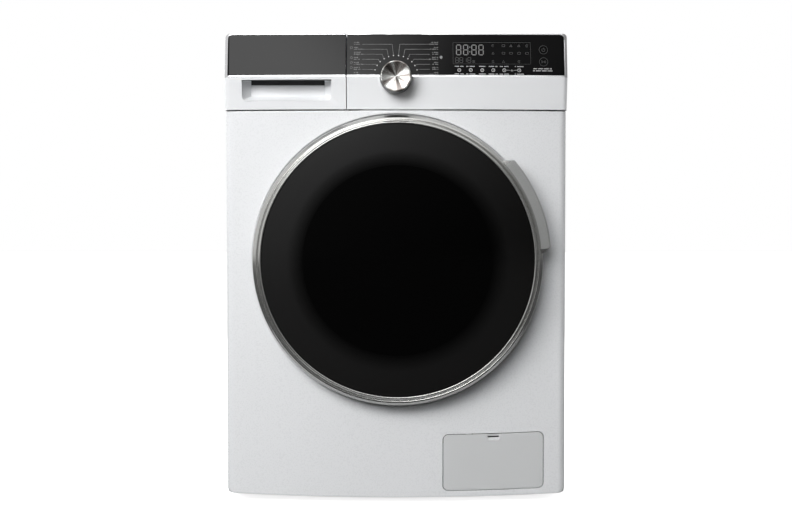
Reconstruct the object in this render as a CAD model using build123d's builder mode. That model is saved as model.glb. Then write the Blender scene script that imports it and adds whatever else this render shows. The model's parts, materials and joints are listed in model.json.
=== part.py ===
from build123d import *

import os
from math import acos, asin, atan2, cos, degrees, pi, radians, sin, sqrt, tan

# Front load washing machine: cabinet, suspended tub, drum and drive, door, drawer, pump.
# Millimetres. +X is to the right of someone facing the door, the front looks along -Y, +Z is up.
# The floor is z = 0, and the origin is the middle of the machine's footprint.
# "Ahead" is a distance towards that person from the front edges of the cabinet's sides.

os.makedirs("parts", exist_ok=True)

# ---------------------------------------------------------------- driving dimensions

WIDTH = 597.0  # across the side panels
HALF = WIDTH / 2
HEIGHT = 822.0  # floor to worktop
DEPTH = 545.0  # front side edges to the rear panel's outer face
SPIGOT = 28.0  # water inlet, beyond the rear panel
DOOR_STAND = 60.0  # middle of the door glass, ahead of the front side edges
FRONT = (DOOR_STAND - DEPTH - SPIGOT) / 2  # y of the front side edges
REAR = FRONT + DEPTH

BOW = 12.0  # how far the front panel bulges between its side edges
LOW_ARC = 6.0  # how far its lower edge dips between its corners
PANEL_LOW = 10.0  # lowest point of the front panel
SEAM = 688.0  # top of the front panel
BEAK = 744.0  # where the control panel stands furthest forward
SKIN = 1.5  # sheet steel, with its enamel
RETURN = 20.0  # how far the front pressings turn back along the sides

DOOR_X, DOOR_Z = 3.0, 426.5  # door and drum axis
RING_R = 252.0  # door ring, outside
GLASS_R = 234.0  # door glass
MOUTH_R = 172.0  # opening in the front panel
DISH_R = 255.0  # flat seat pressed into the front panel for the door
DISH_AT = 2.0  # ahead of the side edges

DRUM_R = 235.0  # inside the drum
DRUM_FRONT, DRUM_REAR = 88.0, 420.0  # behind the side edges
TUB_R = 256.0  # inside the tub
TUB_WALL = 4.0
TUB_FRONT, TUB_SPLIT, TUB_REAR = 80.0, 250.0, 440.0
WEIGHT_R = 256.0
SHAFT_R = 15.0
BEARING_R = 31.0
PULLEY_AT, PULLEY_W = 484.0, 14.0
DRUM_PULLEY_R, MOTOR_PULLEY_R = 140.0, 10.5
MOTOR_X, MOTOR_Z, MOTOR_R = -57.0, 95.0, 58.0

DRAWER_SPLIT = -86.0  # x of the joint between drawer front and control panel
GAP = 0.75  # half of a visible joint between two covers
KNOB_Z, KNOB_R = 741.5, 28.0

PIN_X, PIN_AHEAD, PIN_R = -238.0, 30.0, 2.5  # door hinge pin
ARM_X, ARM_HALF, EAR_OUT = -221.0, 20.0, 28.0  # hinge arm, half its height, and the leaf's ears
HOOK_ANGLE = 22.0  # where the latch hook stands on the door, above the horizontal
HOOK_X = DOOR_X + 200.0 * cos(radians(HOOK_ANGLE))
HOOK_Z = DOOR_Z + 200.0 * sin(radians(HOOK_ANGLE))

FILTER_X, FILTER_Z = 171.0, 72.0
FLAP_X0, FLAP_X1 = 83.0, 259.0
FLAP_LOW, FLAP_TALL = 11.5, 98.0  # above the front panel's lower edge, and height
FLAP_CORNER, FLAP_GAP = 9.0, 1.8
FLAP_PIN_UP, FLAP_PIN_BEHIND, FLAP_PIN_R = 10.0, 3.7, 2.0  # its hinge axis, from its lower outer edge

SUMP_X, SUMP_AHEAD = 73.0, -125.0
FILL_X, FILL_AHEAD = -150.0, -300.0  # spouts between the dispenser and the tub
DAMPER_X, DAMPER_Y = 170.0, (205.0, 385.0)
SPRING_X, SPRING_Y = 281.0, (150.0, 395.0)
SPRING_LOW, SPRING_HIGH = 553.0, 768.0
FOOT_X, FOOT_Y = 255.0, (92.0, 500.0)
BOLT_X, BOLT_Z, BOLT_R = 400.0, 370.0, 12.0  # transit bolt holes in the rear panel


def depth(ahead):
    """y of a plane that stands this far ahead of the front side edges."""
    return FRONT - ahead


def facing(ahead, x=0.0, z=0.0):
    """Sketch plane that looks out of the front: its x is +X, its y is +Z, it extrudes forwards."""
    return Plane(origin=(x, depth(ahead), z), x_dir=(1, 0, 0), z_dir=(0, -1, 0))


def polar_point(x, y, radius, angle):
    """Point at a distance and an angle (radians) from a centre."""
    return (x + radius * cos(angle), y + radius * sin(angle))


def door_section():
    """Sketch plane through the door axis: its x is the radius, its y is how far ahead."""
    return Plane(origin=(DOOR_X, FRONT, DOOR_Z), x_dir=(1, 0, 0), z_dir=(0, 0, 1))


def turned(points, axis_x=DOOR_X, axis_z=DOOR_Z):
    """Solid of revolution about a front to back axis, from (radius, ahead) points."""
    section = Plane(origin=(axis_x, FRONT, axis_z), x_dir=(1, 0, 0), z_dir=(0, 0, 1))
    with BuildPart(mode=Mode.PRIVATE) as body:
        with BuildSketch(section):
            with BuildLine():
                Polyline(*[(r, -a) for r, a in points], close=True)
            make_face()
        revolve(axis=Axis((axis_x, FRONT, axis_z), (0, 1, 0)))
    return body.part


def bow_face(z, front, half, sag, back, corner=0.0):
    """Plan outline at height z: a bowed front edge, straight sides and a straight back."""
    with BuildSketch(Plane.XY.offset(z), mode=Mode.PRIVATE) as plan:
        with BuildLine():
            ThreePointArc((-half, front), (0, front - sag), (half, front))
            Polyline((half, front), (half, back), (-half, back), (-half, front))
        make_face()
        if corner:
            fillet(plan.vertices().sort_by(Axis.Y)[:2], corner)
    return plan.sketch


def bar_between(x0, x1, y, z0, z1, half):
    """Bar across the machine, centred on y."""
    return slab(min(x0, x1), max(x0, x1), y - half, y + half, z0, z1)


def slab(x0, x1, y0, y1, z0, z1):
    """Plain block between two corners."""
    with BuildPart(mode=Mode.PRIVATE) as block:
        with Locations(((x0 + x1) / 2, (y0 + y1) / 2, (z0 + z1) / 2)):
            Box(abs(x1 - x0), abs(y1 - y0), z1 - z0)
    return block.part


def rod(x, z, r, a0, a1):
    """Cylinder along Y between two distances ahead of the side edges."""
    with BuildPart(mode=Mode.PRIVATE) as round_bar:
        with BuildSketch(facing(a0, x, z)):
            Circle(r)
        extrude(amount=a1 - a0)
    return round_bar.part


def post(x, y, r, z0, z1):
    """Upright cylinder."""
    with BuildPart(mode=Mode.PRIVATE) as upright:
        with BuildSketch(Plane.XY.offset(z0)):
            with Locations((x, y)):
                Circle(r)
        extrude(amount=z1 - z0)
    return upright.part


def low_edge(rise, height):
    """Cutter below a curve that is parallel to the front panel's lower edge."""
    side = PANEL_LOW + LOW_ARC + rise
    with BuildPart(mode=Mode.PRIVATE) as cutter:
        with BuildSketch(facing(60)):
            with BuildLine():
                ThreePointArc((-HALF, side), (0, side - LOW_ARC), (HALF, side))
                Polyline((HALF, side), (HALF, side - height), (-HALF, side - height), (-HALF, side))
            make_face()
        extrude(amount=-200)
    return cutter.part


# ---------------------------------------------------------------- cabinet

TOP_OF_SIDES = HEIGHT - 16.0
SIDE_LOW = 14.0


def side_panel(side, name):
    """Side pressing with a flange turned in along its front and its rear edge."""
    flange = 14.0
    outer = side * HALF
    inner = side * (HALF - SKIN)
    lip = side * (HALF - flange)
    with BuildPart() as panel:
        add(slab(*sorted((outer, inner)), FRONT + RETURN, REAR - SKIN, SIDE_LOW, TOP_OF_SIDES))
        add(slab(*sorted((outer, lip)), FRONT + RETURN, FRONT + RETURN + SKIN, SIDE_LOW, TOP_OF_SIDES))
        add(slab(*sorted((outer, lip)), REAR - 2 * SKIN, REAR - SKIN, SIDE_LOW, TOP_OF_SIDES))
    panel.part.label = name
    export_step(panel.part, f"parts/{name}.step")


side_panel(-1, "side_panel_left")
side_panel(1, "side_panel_right")

INLET_X, INLET_Z, INLET_R = 200.0, 760.0, 13.2
OUTLET_X, OUTLET_Z, OUTLET_R = -240.0, 700.0, 10.5
CORD_X, CORD_Z = 240.0, 700.0

with BuildPart() as rear_panel:
    with BuildSketch(facing(-DEPTH)):
        with Locations((0, (SIDE_LOW + TOP_OF_SIDES) / 2)):
            Rectangle(WIDTH, TOP_OF_SIDES - SIDE_LOW)
        with Locations((DOOR_X, DOOR_Z)):
            RectangleRounded(310, 310, 40, mode=Mode.SUBTRACT)
            with GridLocations(BOLT_X, BOLT_Z, 2, 2):
                Circle(BOLT_R, mode=Mode.SUBTRACT)
        with Locations((INLET_X, INLET_Z)):
            Circle(INLET_R + 3, mode=Mode.SUBTRACT)
        with Locations((OUTLET_X, OUTLET_Z)):
            Circle(OUTLET_R + 2, mode=Mode.SUBTRACT)
        with Locations((CORD_X, CORD_Z)):
            Circle(9, mode=Mode.SUBTRACT)
    extrude(amount=SKIN)
rear_panel.part.label = "rear_panel"
export_step(rear_panel.part, "parts/rear_panel.step")

with BuildPart() as rear_access_cover:
    with BuildSketch(facing(-DEPTH, DOOR_X, DOOR_Z)):
        RectangleRounded(346, 346, 30)
    extrude(amount=-SKIN)
    with BuildSketch(facing(-DEPTH - SKIN, DOOR_X, DOOR_Z)):
        RectangleRounded(290, 290, 34)
    extrude(amount=-5, taper=25)
    with BuildSketch(facing(-DEPTH, DOOR_X, DOOR_Z)):
        RectangleRounded(290, 290, 34)
    extrude(amount=-5, taper=25, mode=Mode.SUBTRACT)
rear_access_cover.part.label = "rear_access_cover"
export_step(rear_access_cover.part, "parts/rear_access_cover.step")

with BuildPart() as worktop:
    with BuildSketch(Plane.XY.offset(TOP_OF_SIDES)):
        with Locations((0, (FRONT + RETURN + 2 + REAR) / 2)):
            RectangleRounded(WIDTH, DEPTH - RETURN - 2, 3)
    extrude(amount=HEIGHT - TOP_OF_SIDES)
    fillet(worktop.faces().sort_by(Axis.Z)[-1].edges(), 2.5)
worktop.part.label = "worktop"
export_step(worktop.part, "parts/worktop.step")

with BuildPart() as base_tray:
    with BuildSketch(Plane.XY.offset(SIDE_LOW)):
        with Locations((0, (FRONT + 22 + REAR - 2 * SKIN) / 2)):
            Rectangle(WIDTH - 2 * SKIN, DEPTH - 22 - 2 * SKIN)
    extrude(amount=16)
    offset(amount=-SKIN, openings=base_tray.faces().sort_by(Axis.Z)[-1])
    for foot_y in FOOT_Y:
        for foot_x in (-FOOT_X, FOOT_X):
            add(post(foot_x, FRONT + foot_y, 12, SIDE_LOW, 44))
    for damper_y in DAMPER_Y:
        for damper_x in (-DAMPER_X, DAMPER_X):
            add(post(DOOR_X + damper_x, FRONT + damper_y, 17, SIDE_LOW + 1, 30))
    for foot_y in FOOT_Y:
        for foot_x in (-FOOT_X, FOOT_X):
            add(post(foot_x, FRONT + foot_y, 5.08, SIDE_LOW - 1, 46), mode=Mode.SUBTRACT)
base_tray.part.label = "base_tray"
export_step(base_tray.part, "parts/base_tray.step")

with BuildPart() as top_rails:
    for side in (-1, 1):
        outer, inner = side * (HALF - SKIN), side * 262.0
        add(slab(*sorted((outer, inner)), FRONT + 24, REAR - 4, 796, 798))
        add(slab(*sorted((inner, inner + side * 2)), FRONT + 24, REAR - 4, 798, 804))
        for spring_y in SPRING_Y:
            y = FRONT + spring_y
            add(slab(*sorted((side * 274, side * 288)), y - 10, y + 10, SPRING_HIGH + 4, 796))
top_rails.part.label = "top_rails"
export_step(top_rails.part, "parts/top_rails.step")

# ---------------------------------------------------------------- front panel

# The bowed block that the panel's outer surface bounds, with its dipping lower edge.
panel_top = SEAM - GAP
with BuildPart() as panel_block:
    add(extrude(bow_face(0, FRONT, HALF, BOW, FRONT + RETURN, 12), amount=panel_top))
    add(low_edge(0, 60), mode=Mode.SUBTRACT)
with BuildPart() as panel_core:
    inner_plan = bow_face(0, FRONT + SKIN, HALF - SKIN, BOW, FRONT + RETURN + 1, 10.5)
    add(extrude(inner_plan, amount=panel_top - SKIN))
    add(low_edge(SKIN, 60), mode=Mode.SUBTRACT)


def flap_edge(x):
    """Height of the flap's lower edge, which runs parallel to the front panel's."""
    return PANEL_LOW + FLAP_LOW + LOW_ARC * (x / HALF) ** 2


def flap_outline(grow):
    """Bar through the front panel in the outline of the filter flap, grown on every side."""
    left, right, middle = FLAP_X0 - grow, FLAP_X1 + grow, (FLAP_X0 + FLAP_X1) / 2
    with BuildPart(mode=Mode.PRIVATE) as bar:
        with BuildSketch(facing(60)):
            with BuildLine():
                lower = [(x, flap_edge(x) - grow) for x in (left, middle, right)]
                upper = [(x, flap_edge(x) + FLAP_TALL + grow) for x in (right, middle, left)]
                ThreePointArc(*lower)
                Line(lower[-1], upper[0])
                ThreePointArc(*upper)
                Line(upper[-1], lower[0])
            outline = make_face()
            fillet(outline.vertices(), FLAP_CORNER + grow)
        extrude(amount=-200)
    return bar.part


def flap_axis_at(x):
    """Point of the flap's hinge axis, behind the bowed face near its lower edge."""
    return Vector(x, depth(BOW * (1 - (x / HALF) ** 2) - FLAP_PIN_BEHIND), flap_edge(x) + FLAP_PIN_UP)


FLAP_AXIS = (flap_axis_at(FLAP_X1) - flap_axis_at(FLAP_X0)).normalized()


def flap_pin(radius, low_x, high_x):
    """Round bar on the flap's hinge axis, between two positions across the machine."""
    start = flap_axis_at(FLAP_X0) + FLAP_AXIS * ((low_x - FLAP_X0) / FLAP_AXIS.X)
    with BuildPart(mode=Mode.PRIVATE) as pin:
        with BuildSketch(Plane(origin=start, z_dir=FLAP_AXIS)):
            Circle(radius)
        extrude(amount=(high_x - low_x) / FLAP_AXIS.X)
    return pin.part


TAB_NEAR, TAB_FAR = 2.2, 4.2  # hinge tabs of the front panel, outside the flap's sides
PIN_LONG = 4.6  # how far the flap's pins stand out of its sides

with BuildPart() as dish:
    add(rod(DOOR_X, DOOR_Z, DISH_R + SKIN, DISH_AT - SKIN, 30))
    add(rod(DOOR_X, DOOR_Z, DISH_R, DISH_AT, 31), mode=Mode.SUBTRACT)
    add(panel_block.part, mode=Mode.INTERSECT)
    add(rod(DOOR_X, DOOR_Z, MOUTH_R + SKIN, -20, DISH_AT))
    add(rod(DOOR_X, DOOR_Z, MOUTH_R, -21, 40), mode=Mode.SUBTRACT)

with BuildPart() as flap_tabs:
    for near, far in ((FLAP_X0 - TAB_NEAR, FLAP_X0 - TAB_FAR), (FLAP_X1 + TAB_FAR, FLAP_X1 + TAB_NEAR)):
        pivot = flap_axis_at((near + far) / 2)
        add(slab(near, far, pivot.Y - FLAP_PIN_BEHIND, pivot.Y + 5, pivot.Z - 5, pivot.Z + 5))
    add(flap_pin(FLAP_PIN_R + 0.05, FLAP_X0 - 20, FLAP_X1 + 20), mode=Mode.SUBTRACT)
    add(panel_block.part, mode=Mode.INTERSECT)

with BuildPart() as front_panel:
    add(panel_block.part)
    add(panel_core.part, mode=Mode.SUBTRACT)
    add(rod(DOOR_X, DOOR_Z, DISH_R + SKIN / 2, -15, 30), mode=Mode.SUBTRACT)
    add(dish.part)
    # slots for the latch hook and the hinge arm
    with Locations((HOOK_X + 3, depth(0), HOOK_Z)):
        Box(24, 10, 30, mode=Mode.SUBTRACT)
    with Locations((ARM_X, depth(0), DOOR_Z)):
        Box(8, 10, 2 * ARM_HALF + 3, mode=Mode.SUBTRACT)
    add(flap_outline(FLAP_GAP), mode=Mode.SUBTRACT)
    add(flap_tabs.part)
front_panel.part.label = "front_panel"
export_step(front_panel.part, "parts/front_panel.step")

# ---------------------------------------------------------------- control panel

# Plan sections of the control area, from the seam up over the beak to the top edge:
# height, how far the side edges stand ahead, and the bow there.
CONTROL = ((SEAM + GAP, 4.0, 12.0), (BEAK, 14.0, 10.0), (HEIGHT - 0.5, 2.0, 3.0))
CONTROL_HALF = HALF + 0.5


def control_loft(inset, z_low, z_high, back):
    """Ruled solid through the control sections, moved in by inset, between two heights."""
    levels = sorted({z_low, z_high, *(z for z, _, _ in CONTROL if z_low < z < z_high)})
    sections = []
    for z in levels:
        lower, upper = CONTROL[:2] if z <= BEAK else CONTROL[1:]
        share = (z - lower[0]) / (upper[0] - lower[0])
        ahead = lower[1] + share * (upper[1] - lower[1]) - inset
        sag = lower[2] + share * (upper[2] - lower[2])
        sections.append(bow_face(z, depth(ahead), CONTROL_HALF - inset, sag, FRONT + back, 10))
    return loft(sections, ruled=True)


def rounded_top(x0, x1, z0, z1, radius_left, radius_right):
    """Bar through the control area, with rounded upper corners."""
    with BuildPart(mode=Mode.PRIVATE) as bar:
        with BuildSketch(facing(60)):
            with Locations(((x0 + x1) / 2, (z0 + z1) / 2)):
                outline = Rectangle(x1 - x0, z1 - z0)
            corners = outline.vertices().group_by(Axis.Y)[-1].sort_by(Axis.X)
            for corner, radius in zip(corners, (radius_left, radius_right)):
                if radius:
                    fillet(corner, radius)
        extrude(amount=-120)
    return bar.part


TRIM = 3.0  # silver bezel behind the dark fascia
FASCIA_LOW, FASCIA_THICK = BEAK + 3.0, 1.2
SHELL = 2.5
left_end, right_end = -CONTROL_HALF - 1, CONTROL_HALF + 1
low, high = CONTROL[0][0], CONTROL[-1][0]
outer_block = control_loft(0, low, high, RETURN - 0.5)
trim_back = control_loft(TRIM, low, high, RETURN - 0.5)
shell_back = control_loft(TRIM + SHELL, low, high - SHELL, RETURN)
lower_back = control_loft(SHELL, low, high - SHELL, RETURN)
fascia_back = control_loft(FASCIA_THICK, low, high, RETURN)


def control_shell(x0, x1, radius_left, radius_right):
    """White moulding: a full-height shell, thicker behind below the bezel."""
    with BuildPart(mode=Mode.PRIVATE) as upper:
        add(trim_back)
        add(shell_back, mode=Mode.SUBTRACT)
        add(rounded_top(x0, x1, BEAK, high, radius_left, radius_right), mode=Mode.INTERSECT)
    with BuildPart(mode=Mode.PRIVATE) as ledge:  # joins the lower skin to the set-back upper wall
        add(outer_block)
        add(shell_back, mode=Mode.SUBTRACT)
        add(rounded_top(x0, x1, BEAK - SHELL, BEAK, 0, 0), mode=Mode.INTERSECT)
    with BuildPart(mode=Mode.PRIVATE) as shell:
        add(outer_block)
        add(rounded_top(x0, x1, low - 1, BEAK, 0, 0), mode=Mode.INTERSECT)
        add(lower_back, mode=Mode.SUBTRACT)
        add(upper.part)
        add(ledge.part)
    return shell.part


def bezel(x0, x1, radius_left, radius_right):
    """Silver frame plate, with the dark fascia's seat sunk into it."""
    with BuildPart(mode=Mode.PRIVATE) as plate:
        add(outer_block)
        add(trim_back, mode=Mode.SUBTRACT)
        add(rounded_top(x0, x1, BEAK, high, radius_left, radius_right), mode=Mode.INTERSECT)
        add(fascia(x0, x1, radius_left, radius_right), mode=Mode.SUBTRACT)
    return plate.part


def fascia(x0, x1, radius_left, radius_right):
    """Dark gloss plate, set into the bezel with a rim at its outer edges."""
    left = x0 + 6 if radius_left else x0
    right = x1 - 6 if radius_right else x1
    with BuildPart(mode=Mode.PRIVATE) as plate:
        add(outer_block)
        add(fascia_back, mode=Mode.SUBTRACT)
        top = rounded_top(left, right, FASCIA_LOW, high - 2, radius_left, radius_right)
        add(top, mode=Mode.INTERSECT)
    return plate.part


PANEL_X0 = DRAWER_SPLIT + GAP
CORNER = 9.0
with BuildPart() as control_panel:
    add(control_shell(PANEL_X0, right_end, 0, CORNER))
    add(slab(PANEL_X0, PANEL_X0 + SHELL, depth(3), FRONT + RETURN, low, high - 8))
    add(rod(0, KNOB_Z, 7.5, -10, 40), mode=Mode.SUBTRACT)
control_panel.part.label = "control_panel"
export_step(control_panel.part, "parts/control_panel.step")

with BuildPart() as fascia_bezel:
    add(bezel(PANEL_X0, right_end, 0, CORNER))
    add(rod(0, KNOB_Z, 7.5, -10, 40), mode=Mode.SUBTRACT)
fascia_bezel.part.label = "fascia_bezel"
export_step(fascia_bezel.part, "parts/fascia_bezel.step")

with BuildPart() as control_fascia:
    add(fascia(PANEL_X0, right_end, 0, CORNER))
    add(rod(0, KNOB_Z, 7.5, -10, 40), mode=Mode.SUBTRACT)
control_fascia.part.label = "control_fascia"
export_step(control_fascia.part, "parts/control_fascia.step")

with BuildPart() as control_board:
    add(slab(-60, 270, depth(-8), depth(-6), 700, 800))
    add(slab(70, 200, depth(-6), depth(-1), 762, 796))  # display module
    add(slab(-14, 14, depth(-6), depth(-1), KNOB_Z - 14, KNOB_Z + 14))  # encoder body
    add(rod(0, KNOB_Z, 3.06, -9, 0), mode=Mode.SUBTRACT)
control_board.part.label = "control_board"
export_step(control_board.part, "parts/control_board.step")

# ---------------------------------------------------------------- selector knob

KNOB_BACK, KNOB_FACE = 25.0, 50.0
skirt_profile = [
    (0, KNOB_BACK + 6),
    (KNOB_R - 3, KNOB_BACK + 6),
    (KNOB_R - 3, KNOB_BACK),
    (KNOB_R - 0.6, KNOB_BACK),
    (KNOB_R, KNOB_BACK + 2),
    (KNOB_R, KNOB_BACK + 7),
    (KNOB_R - 1.2, KNOB_FACE - 4),
    (0, KNOB_FACE - 4),
]
with BuildPart() as knob_skirt:
    add(turned(skirt_profile, 0, KNOB_Z))
    add(rod(0, KNOB_Z, 6.5, 14, KNOB_BACK + 6.5))
    add(rod(0, KNOB_Z, 3.0, -8, 15))  # spindle in the encoder
knob_skirt.part.label = "knob_skirt"
export_step(knob_skirt.part, "parts/knob_skirt.step")

face_profile = [
    (0, KNOB_FACE - 4),
    (KNOB_R - 1.6, KNOB_FACE - 4),
    (KNOB_R - 1.6, KNOB_FACE - 1.5),
    (KNOB_R - 3.0, KNOB_FACE),
    (0, KNOB_FACE - 2.2),
]
with BuildPart() as knob_face:
    add(turned(face_profile, 0, KNOB_Z))
knob_face.part.label = "knob_face"
export_step(knob_face.part, "parts/knob_face.step")

# ---------------------------------------------------------------- detergent drawer

DRAWER_X1 = DRAWER_SPLIT - GAP
GRIP_X0, GRIP_X1, GRIP_Z0, GRIP_Z1 = -268.0, -112.0, 703.0, 739.5
GRIP_DEEP = 22.0

with BuildPart() as grip_cut:
    with BuildSketch(facing(30)):
        with Locations(((GRIP_X0 + GRIP_X1) / 2, (GRIP_Z0 + GRIP_Z1) / 2)):
            grip = Rectangle(GRIP_X1 - GRIP_X0, GRIP_Z1 - GRIP_Z0)
        fillet(grip.vertices().group_by(Axis.Y)[0], 9)
    extrude(amount=-22)
    with BuildSketch(facing(8)):
        with Locations(((GRIP_X0 + GRIP_X1) / 2, (GRIP_Z0 + GRIP_Z1) / 2)):
            grip_in = Rectangle(GRIP_X1 - GRIP_X0, GRIP_Z1 - GRIP_Z0)
        fillet(grip_in.vertices().group_by(Axis.Y)[0], 9)
    with BuildSketch(facing(8 - GRIP_DEEP)):
        with Locations(((GRIP_X0 + GRIP_X1) / 2, (GRIP_Z0 + 11 + GRIP_Z1) / 2)):
            Rectangle(GRIP_X1 - GRIP_X0 - 26, GRIP_Z1 - GRIP_Z0 - 11)
    loft(ruled=True)

with BuildPart() as drawer_front:
    add(control_shell(left_end, DRAWER_X1, CORNER, 0))
    add(slab(DRAWER_X1 - SHELL, DRAWER_X1, depth(3), FRONT + 4, low, high - 8))
    add(slab(GRIP_X0 - 3, GRIP_X1 + 3, depth(40), depth(-17), GRIP_Z0 - 3, BEAK) & outer_block)
    add(slab(GRIP_X0 - 3, GRIP_X1 + 3, depth(9), depth(-17), BEAK, BEAK + 8))
    add(grip_cut.part, mode=Mode.SUBTRACT)
    # undercut behind the bezel for the fingertips
    undercut = slab(GRIP_X0 + 13, GRIP_X1 - 13, depth(6), depth(-13), GRIP_Z1 - 6, GRIP_Z1 + 8)
    add(undercut, mode=Mode.SUBTRACT)
drawer_front.part.label = "drawer_front"
export_step(drawer_front.part, "parts/drawer_front.step")

with BuildPart() as drawer_fascia:
    add(outer_block)
    add(trim_back, mode=Mode.SUBTRACT)
    add(rounded_top(left_end, DRAWER_X1, BEAK, high, CORNER, 0), mode=Mode.INTERSECT)
drawer_fascia.part.label = "drawer_fascia"
export_step(drawer_fascia.part, "parts/drawer_fascia.step")

TRAY_X0, TRAY_X1, TRAY_Z0, TRAY_Z1 = -256.0, -100.0, 699.0, 750.0
TRAY_A0, TRAY_A1 = -300.0, -18.0
PIPE_X, PIPE_Y = -179.75, depth(TRAY_A0 + 90)  # softener standpipe
with BuildPart() as drawer_tray:
    add(slab(TRAY_X0, TRAY_X1, depth(TRAY_A1), depth(TRAY_A0), TRAY_Z0, TRAY_Z1))
    pockets = (  # x from, x to, ahead from, ahead to: prewash, softener, main wash
        (TRAY_X0 + 2.5, -206.0, TRAY_A0 + 2.5, TRAY_A1 - 6),
        (-203.5, -156.0, TRAY_A0 + 60, TRAY_A1 - 6),
        (-153.5, TRAY_X1 - 2.5, TRAY_A0 + 2.5, TRAY_A1 - 6),
    )
    for x0, x1, a0, a1 in pockets:
        add(slab(x0, x1, depth(a1), depth(a0), TRAY_Z0 + 2.5, TRAY_Z1 + 1), mode=Mode.SUBTRACT)
    shelf = slab(-203.5, -156.0, depth(TRAY_A0 + 57.5), depth(TRAY_A0 + 2.5), TRAY_Z0 + 12, TRAY_Z1 + 1)
    add(shelf, mode=Mode.SUBTRACT)
    add(post(PIPE_X, PIPE_Y, 5, TRAY_Z0 + 2, TRAY_Z0 + 34))
    add(post(PIPE_X, PIPE_Y, 3, TRAY_Z0 - 1, TRAY_Z0 + 36), mode=Mode.SUBTRACT)
drawer_tray.part.label = "drawer_tray"
export_step(drawer_tray.part, "parts/drawer_tray.step")

with BuildPart() as siphon_cap:
    add(slab(-202.5, -157.0, depth(TRAY_A0 + 128), depth(TRAY_A0 + 63), TRAY_Z1 - 4, TRAY_Z1 - 1.5))
    add(post(PIPE_X, PIPE_Y, 8, TRAY_Z0 + 6, TRAY_Z1 - 4))
    add(post(PIPE_X, PIPE_Y, 6, TRAY_Z0 + 5, TRAY_Z1 - 6), mode=Mode.SUBTRACT)
siphon_cap.part.label = "siphon_cap"
export_step(siphon_cap.part, "parts/siphon_cap.step")

with BuildPart() as dispenser_housing:
    add(slab(-262, -94, depth(-24), depth(-330), 692, 792))
    add(slab(-259.5, -96.5, depth(-23), depth(-327), 694.5, 784), mode=Mode.SUBTRACT)
    add(post(FILL_X, depth(FILL_AHEAD), 16, 676, 693))  # spout to the tub
    add(post(FILL_X, depth(FILL_AHEAD), 13, 675, 696), mode=Mode.SUBTRACT)
    add(rod(-120, 772, 9, -345, -329))  # water inlet stub
    add(rod(-120, 772, 6, -346, -326), mode=Mode.SUBTRACT)
dispenser_housing.part.label = "dispenser_housing"
export_step(dispenser_housing.part, "parts/dispenser_housing.step")


def hose(name, route, outer, bore):
    """Tube along straight runs, with an arc at each corner as large as its two runs allow."""
    points = [Vector(*point) for point in route]
    radii = []
    for before, corner, after in zip(points, points[1:], points[2:]):
        run_in, run_out = corner - before, after - corner
        turn = run_in.get_angle(run_out)
        radii.append(0.45 * min(run_in.length, run_out.length) / tan(radians(turn / 2)))
    print(name, "bend radii", [round(radius) for radius in radii])
    with BuildPart(mode=Mode.PRIVATE) as tube:
        with BuildLine():
            FilletPolyline(*points, radius=radii)
        with BuildSketch(Plane(origin=points[0], z_dir=points[1] - points[0])):
            Circle(outer)
        sweep()
    with BuildPart(mode=Mode.PRIVATE) as inside:
        with BuildLine():
            FilletPolyline(*points, radius=radii)
        with BuildSketch(Plane(origin=points[0], z_dir=points[1] - points[0])):
            Circle(bore)
        sweep()
    return tube.part - inside.part


# ---------------------------------------------------------------- water in

with BuildPart() as inlet_valve:
    body_front, body_back = depth(-DEPTH + 42), depth(-DEPTH + 3)
    add(slab(INLET_X - 18, INLET_X + 18, body_front, body_back, INLET_Z - 20, INLET_Z + 20))
    add(post(INLET_X, depth(-DEPTH + 24), 14, INLET_Z - 48, INLET_Z - 20))  # solenoid
    add(rod(INLET_X, INLET_Z, INLET_R, -DEPTH - SPIGOT, -DEPTH + 3.5))
    add(rod(INLET_X, INLET_Z, 8, -DEPTH - SPIGOT - 1, -DEPTH + 12), mode=Mode.SUBTRACT)
    add(rod(INLET_X, INLET_Z, 8, -DEPTH + 42, -DEPTH + 60))
    add(rod(INLET_X, INLET_Z, 5, -DEPTH + 30, -DEPTH + 61), mode=Mode.SUBTRACT)
inlet_valve.part.label = "inlet_valve"
export_step(inlet_valve.part, "parts/inlet_valve.step")

inlet_route = (
    (INLET_X, depth(-DEPTH + 60), INLET_Z),
    (INLET_X, depth(-455), INLET_Z),
    (INLET_X - 45, depth(-415), INLET_Z + 8),
    (INLET_X - 200, depth(-395), INLET_Z + 12),
    (-100, depth(-394), 773),
    (-120, depth(-378), 772),
    (-120, depth(-345.5), 772),
)
with BuildPart() as inlet_hose:
    add(hose("inlet_hose", inlet_route, 8, 5.5))
inlet_hose.part.label = "inlet_hose"
export_step(inlet_hose.part, "parts/inlet_hose.step")

with BuildPart() as fill_hose:  # rubber sleeve over the two spouts
    add(post(FILL_X, depth(FILL_AHEAD), 19, 655, 684))
    add(post(FILL_X, depth(FILL_AHEAD), 16.3, 654, 685), mode=Mode.SUBTRACT)
fill_hose.part.label = "fill_hose"
export_step(fill_hose.part, "parts/fill_hose.step")

with BuildPart() as cord_gland:
    add(rod(CORD_X, CORD_Z, 14, -DEPTH - 4, -DEPTH))
    add(rod(CORD_X, CORD_Z, 8.8, -DEPTH - 14, -DEPTH + 12))
    add(rod(CORD_X, CORD_Z, 4.2, -DEPTH - 15, -DEPTH + 13), mode=Mode.SUBTRACT)
cord_gland.part.label = "cord_gland"
export_step(cord_gland.part, "parts/cord_gland.step")

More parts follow.
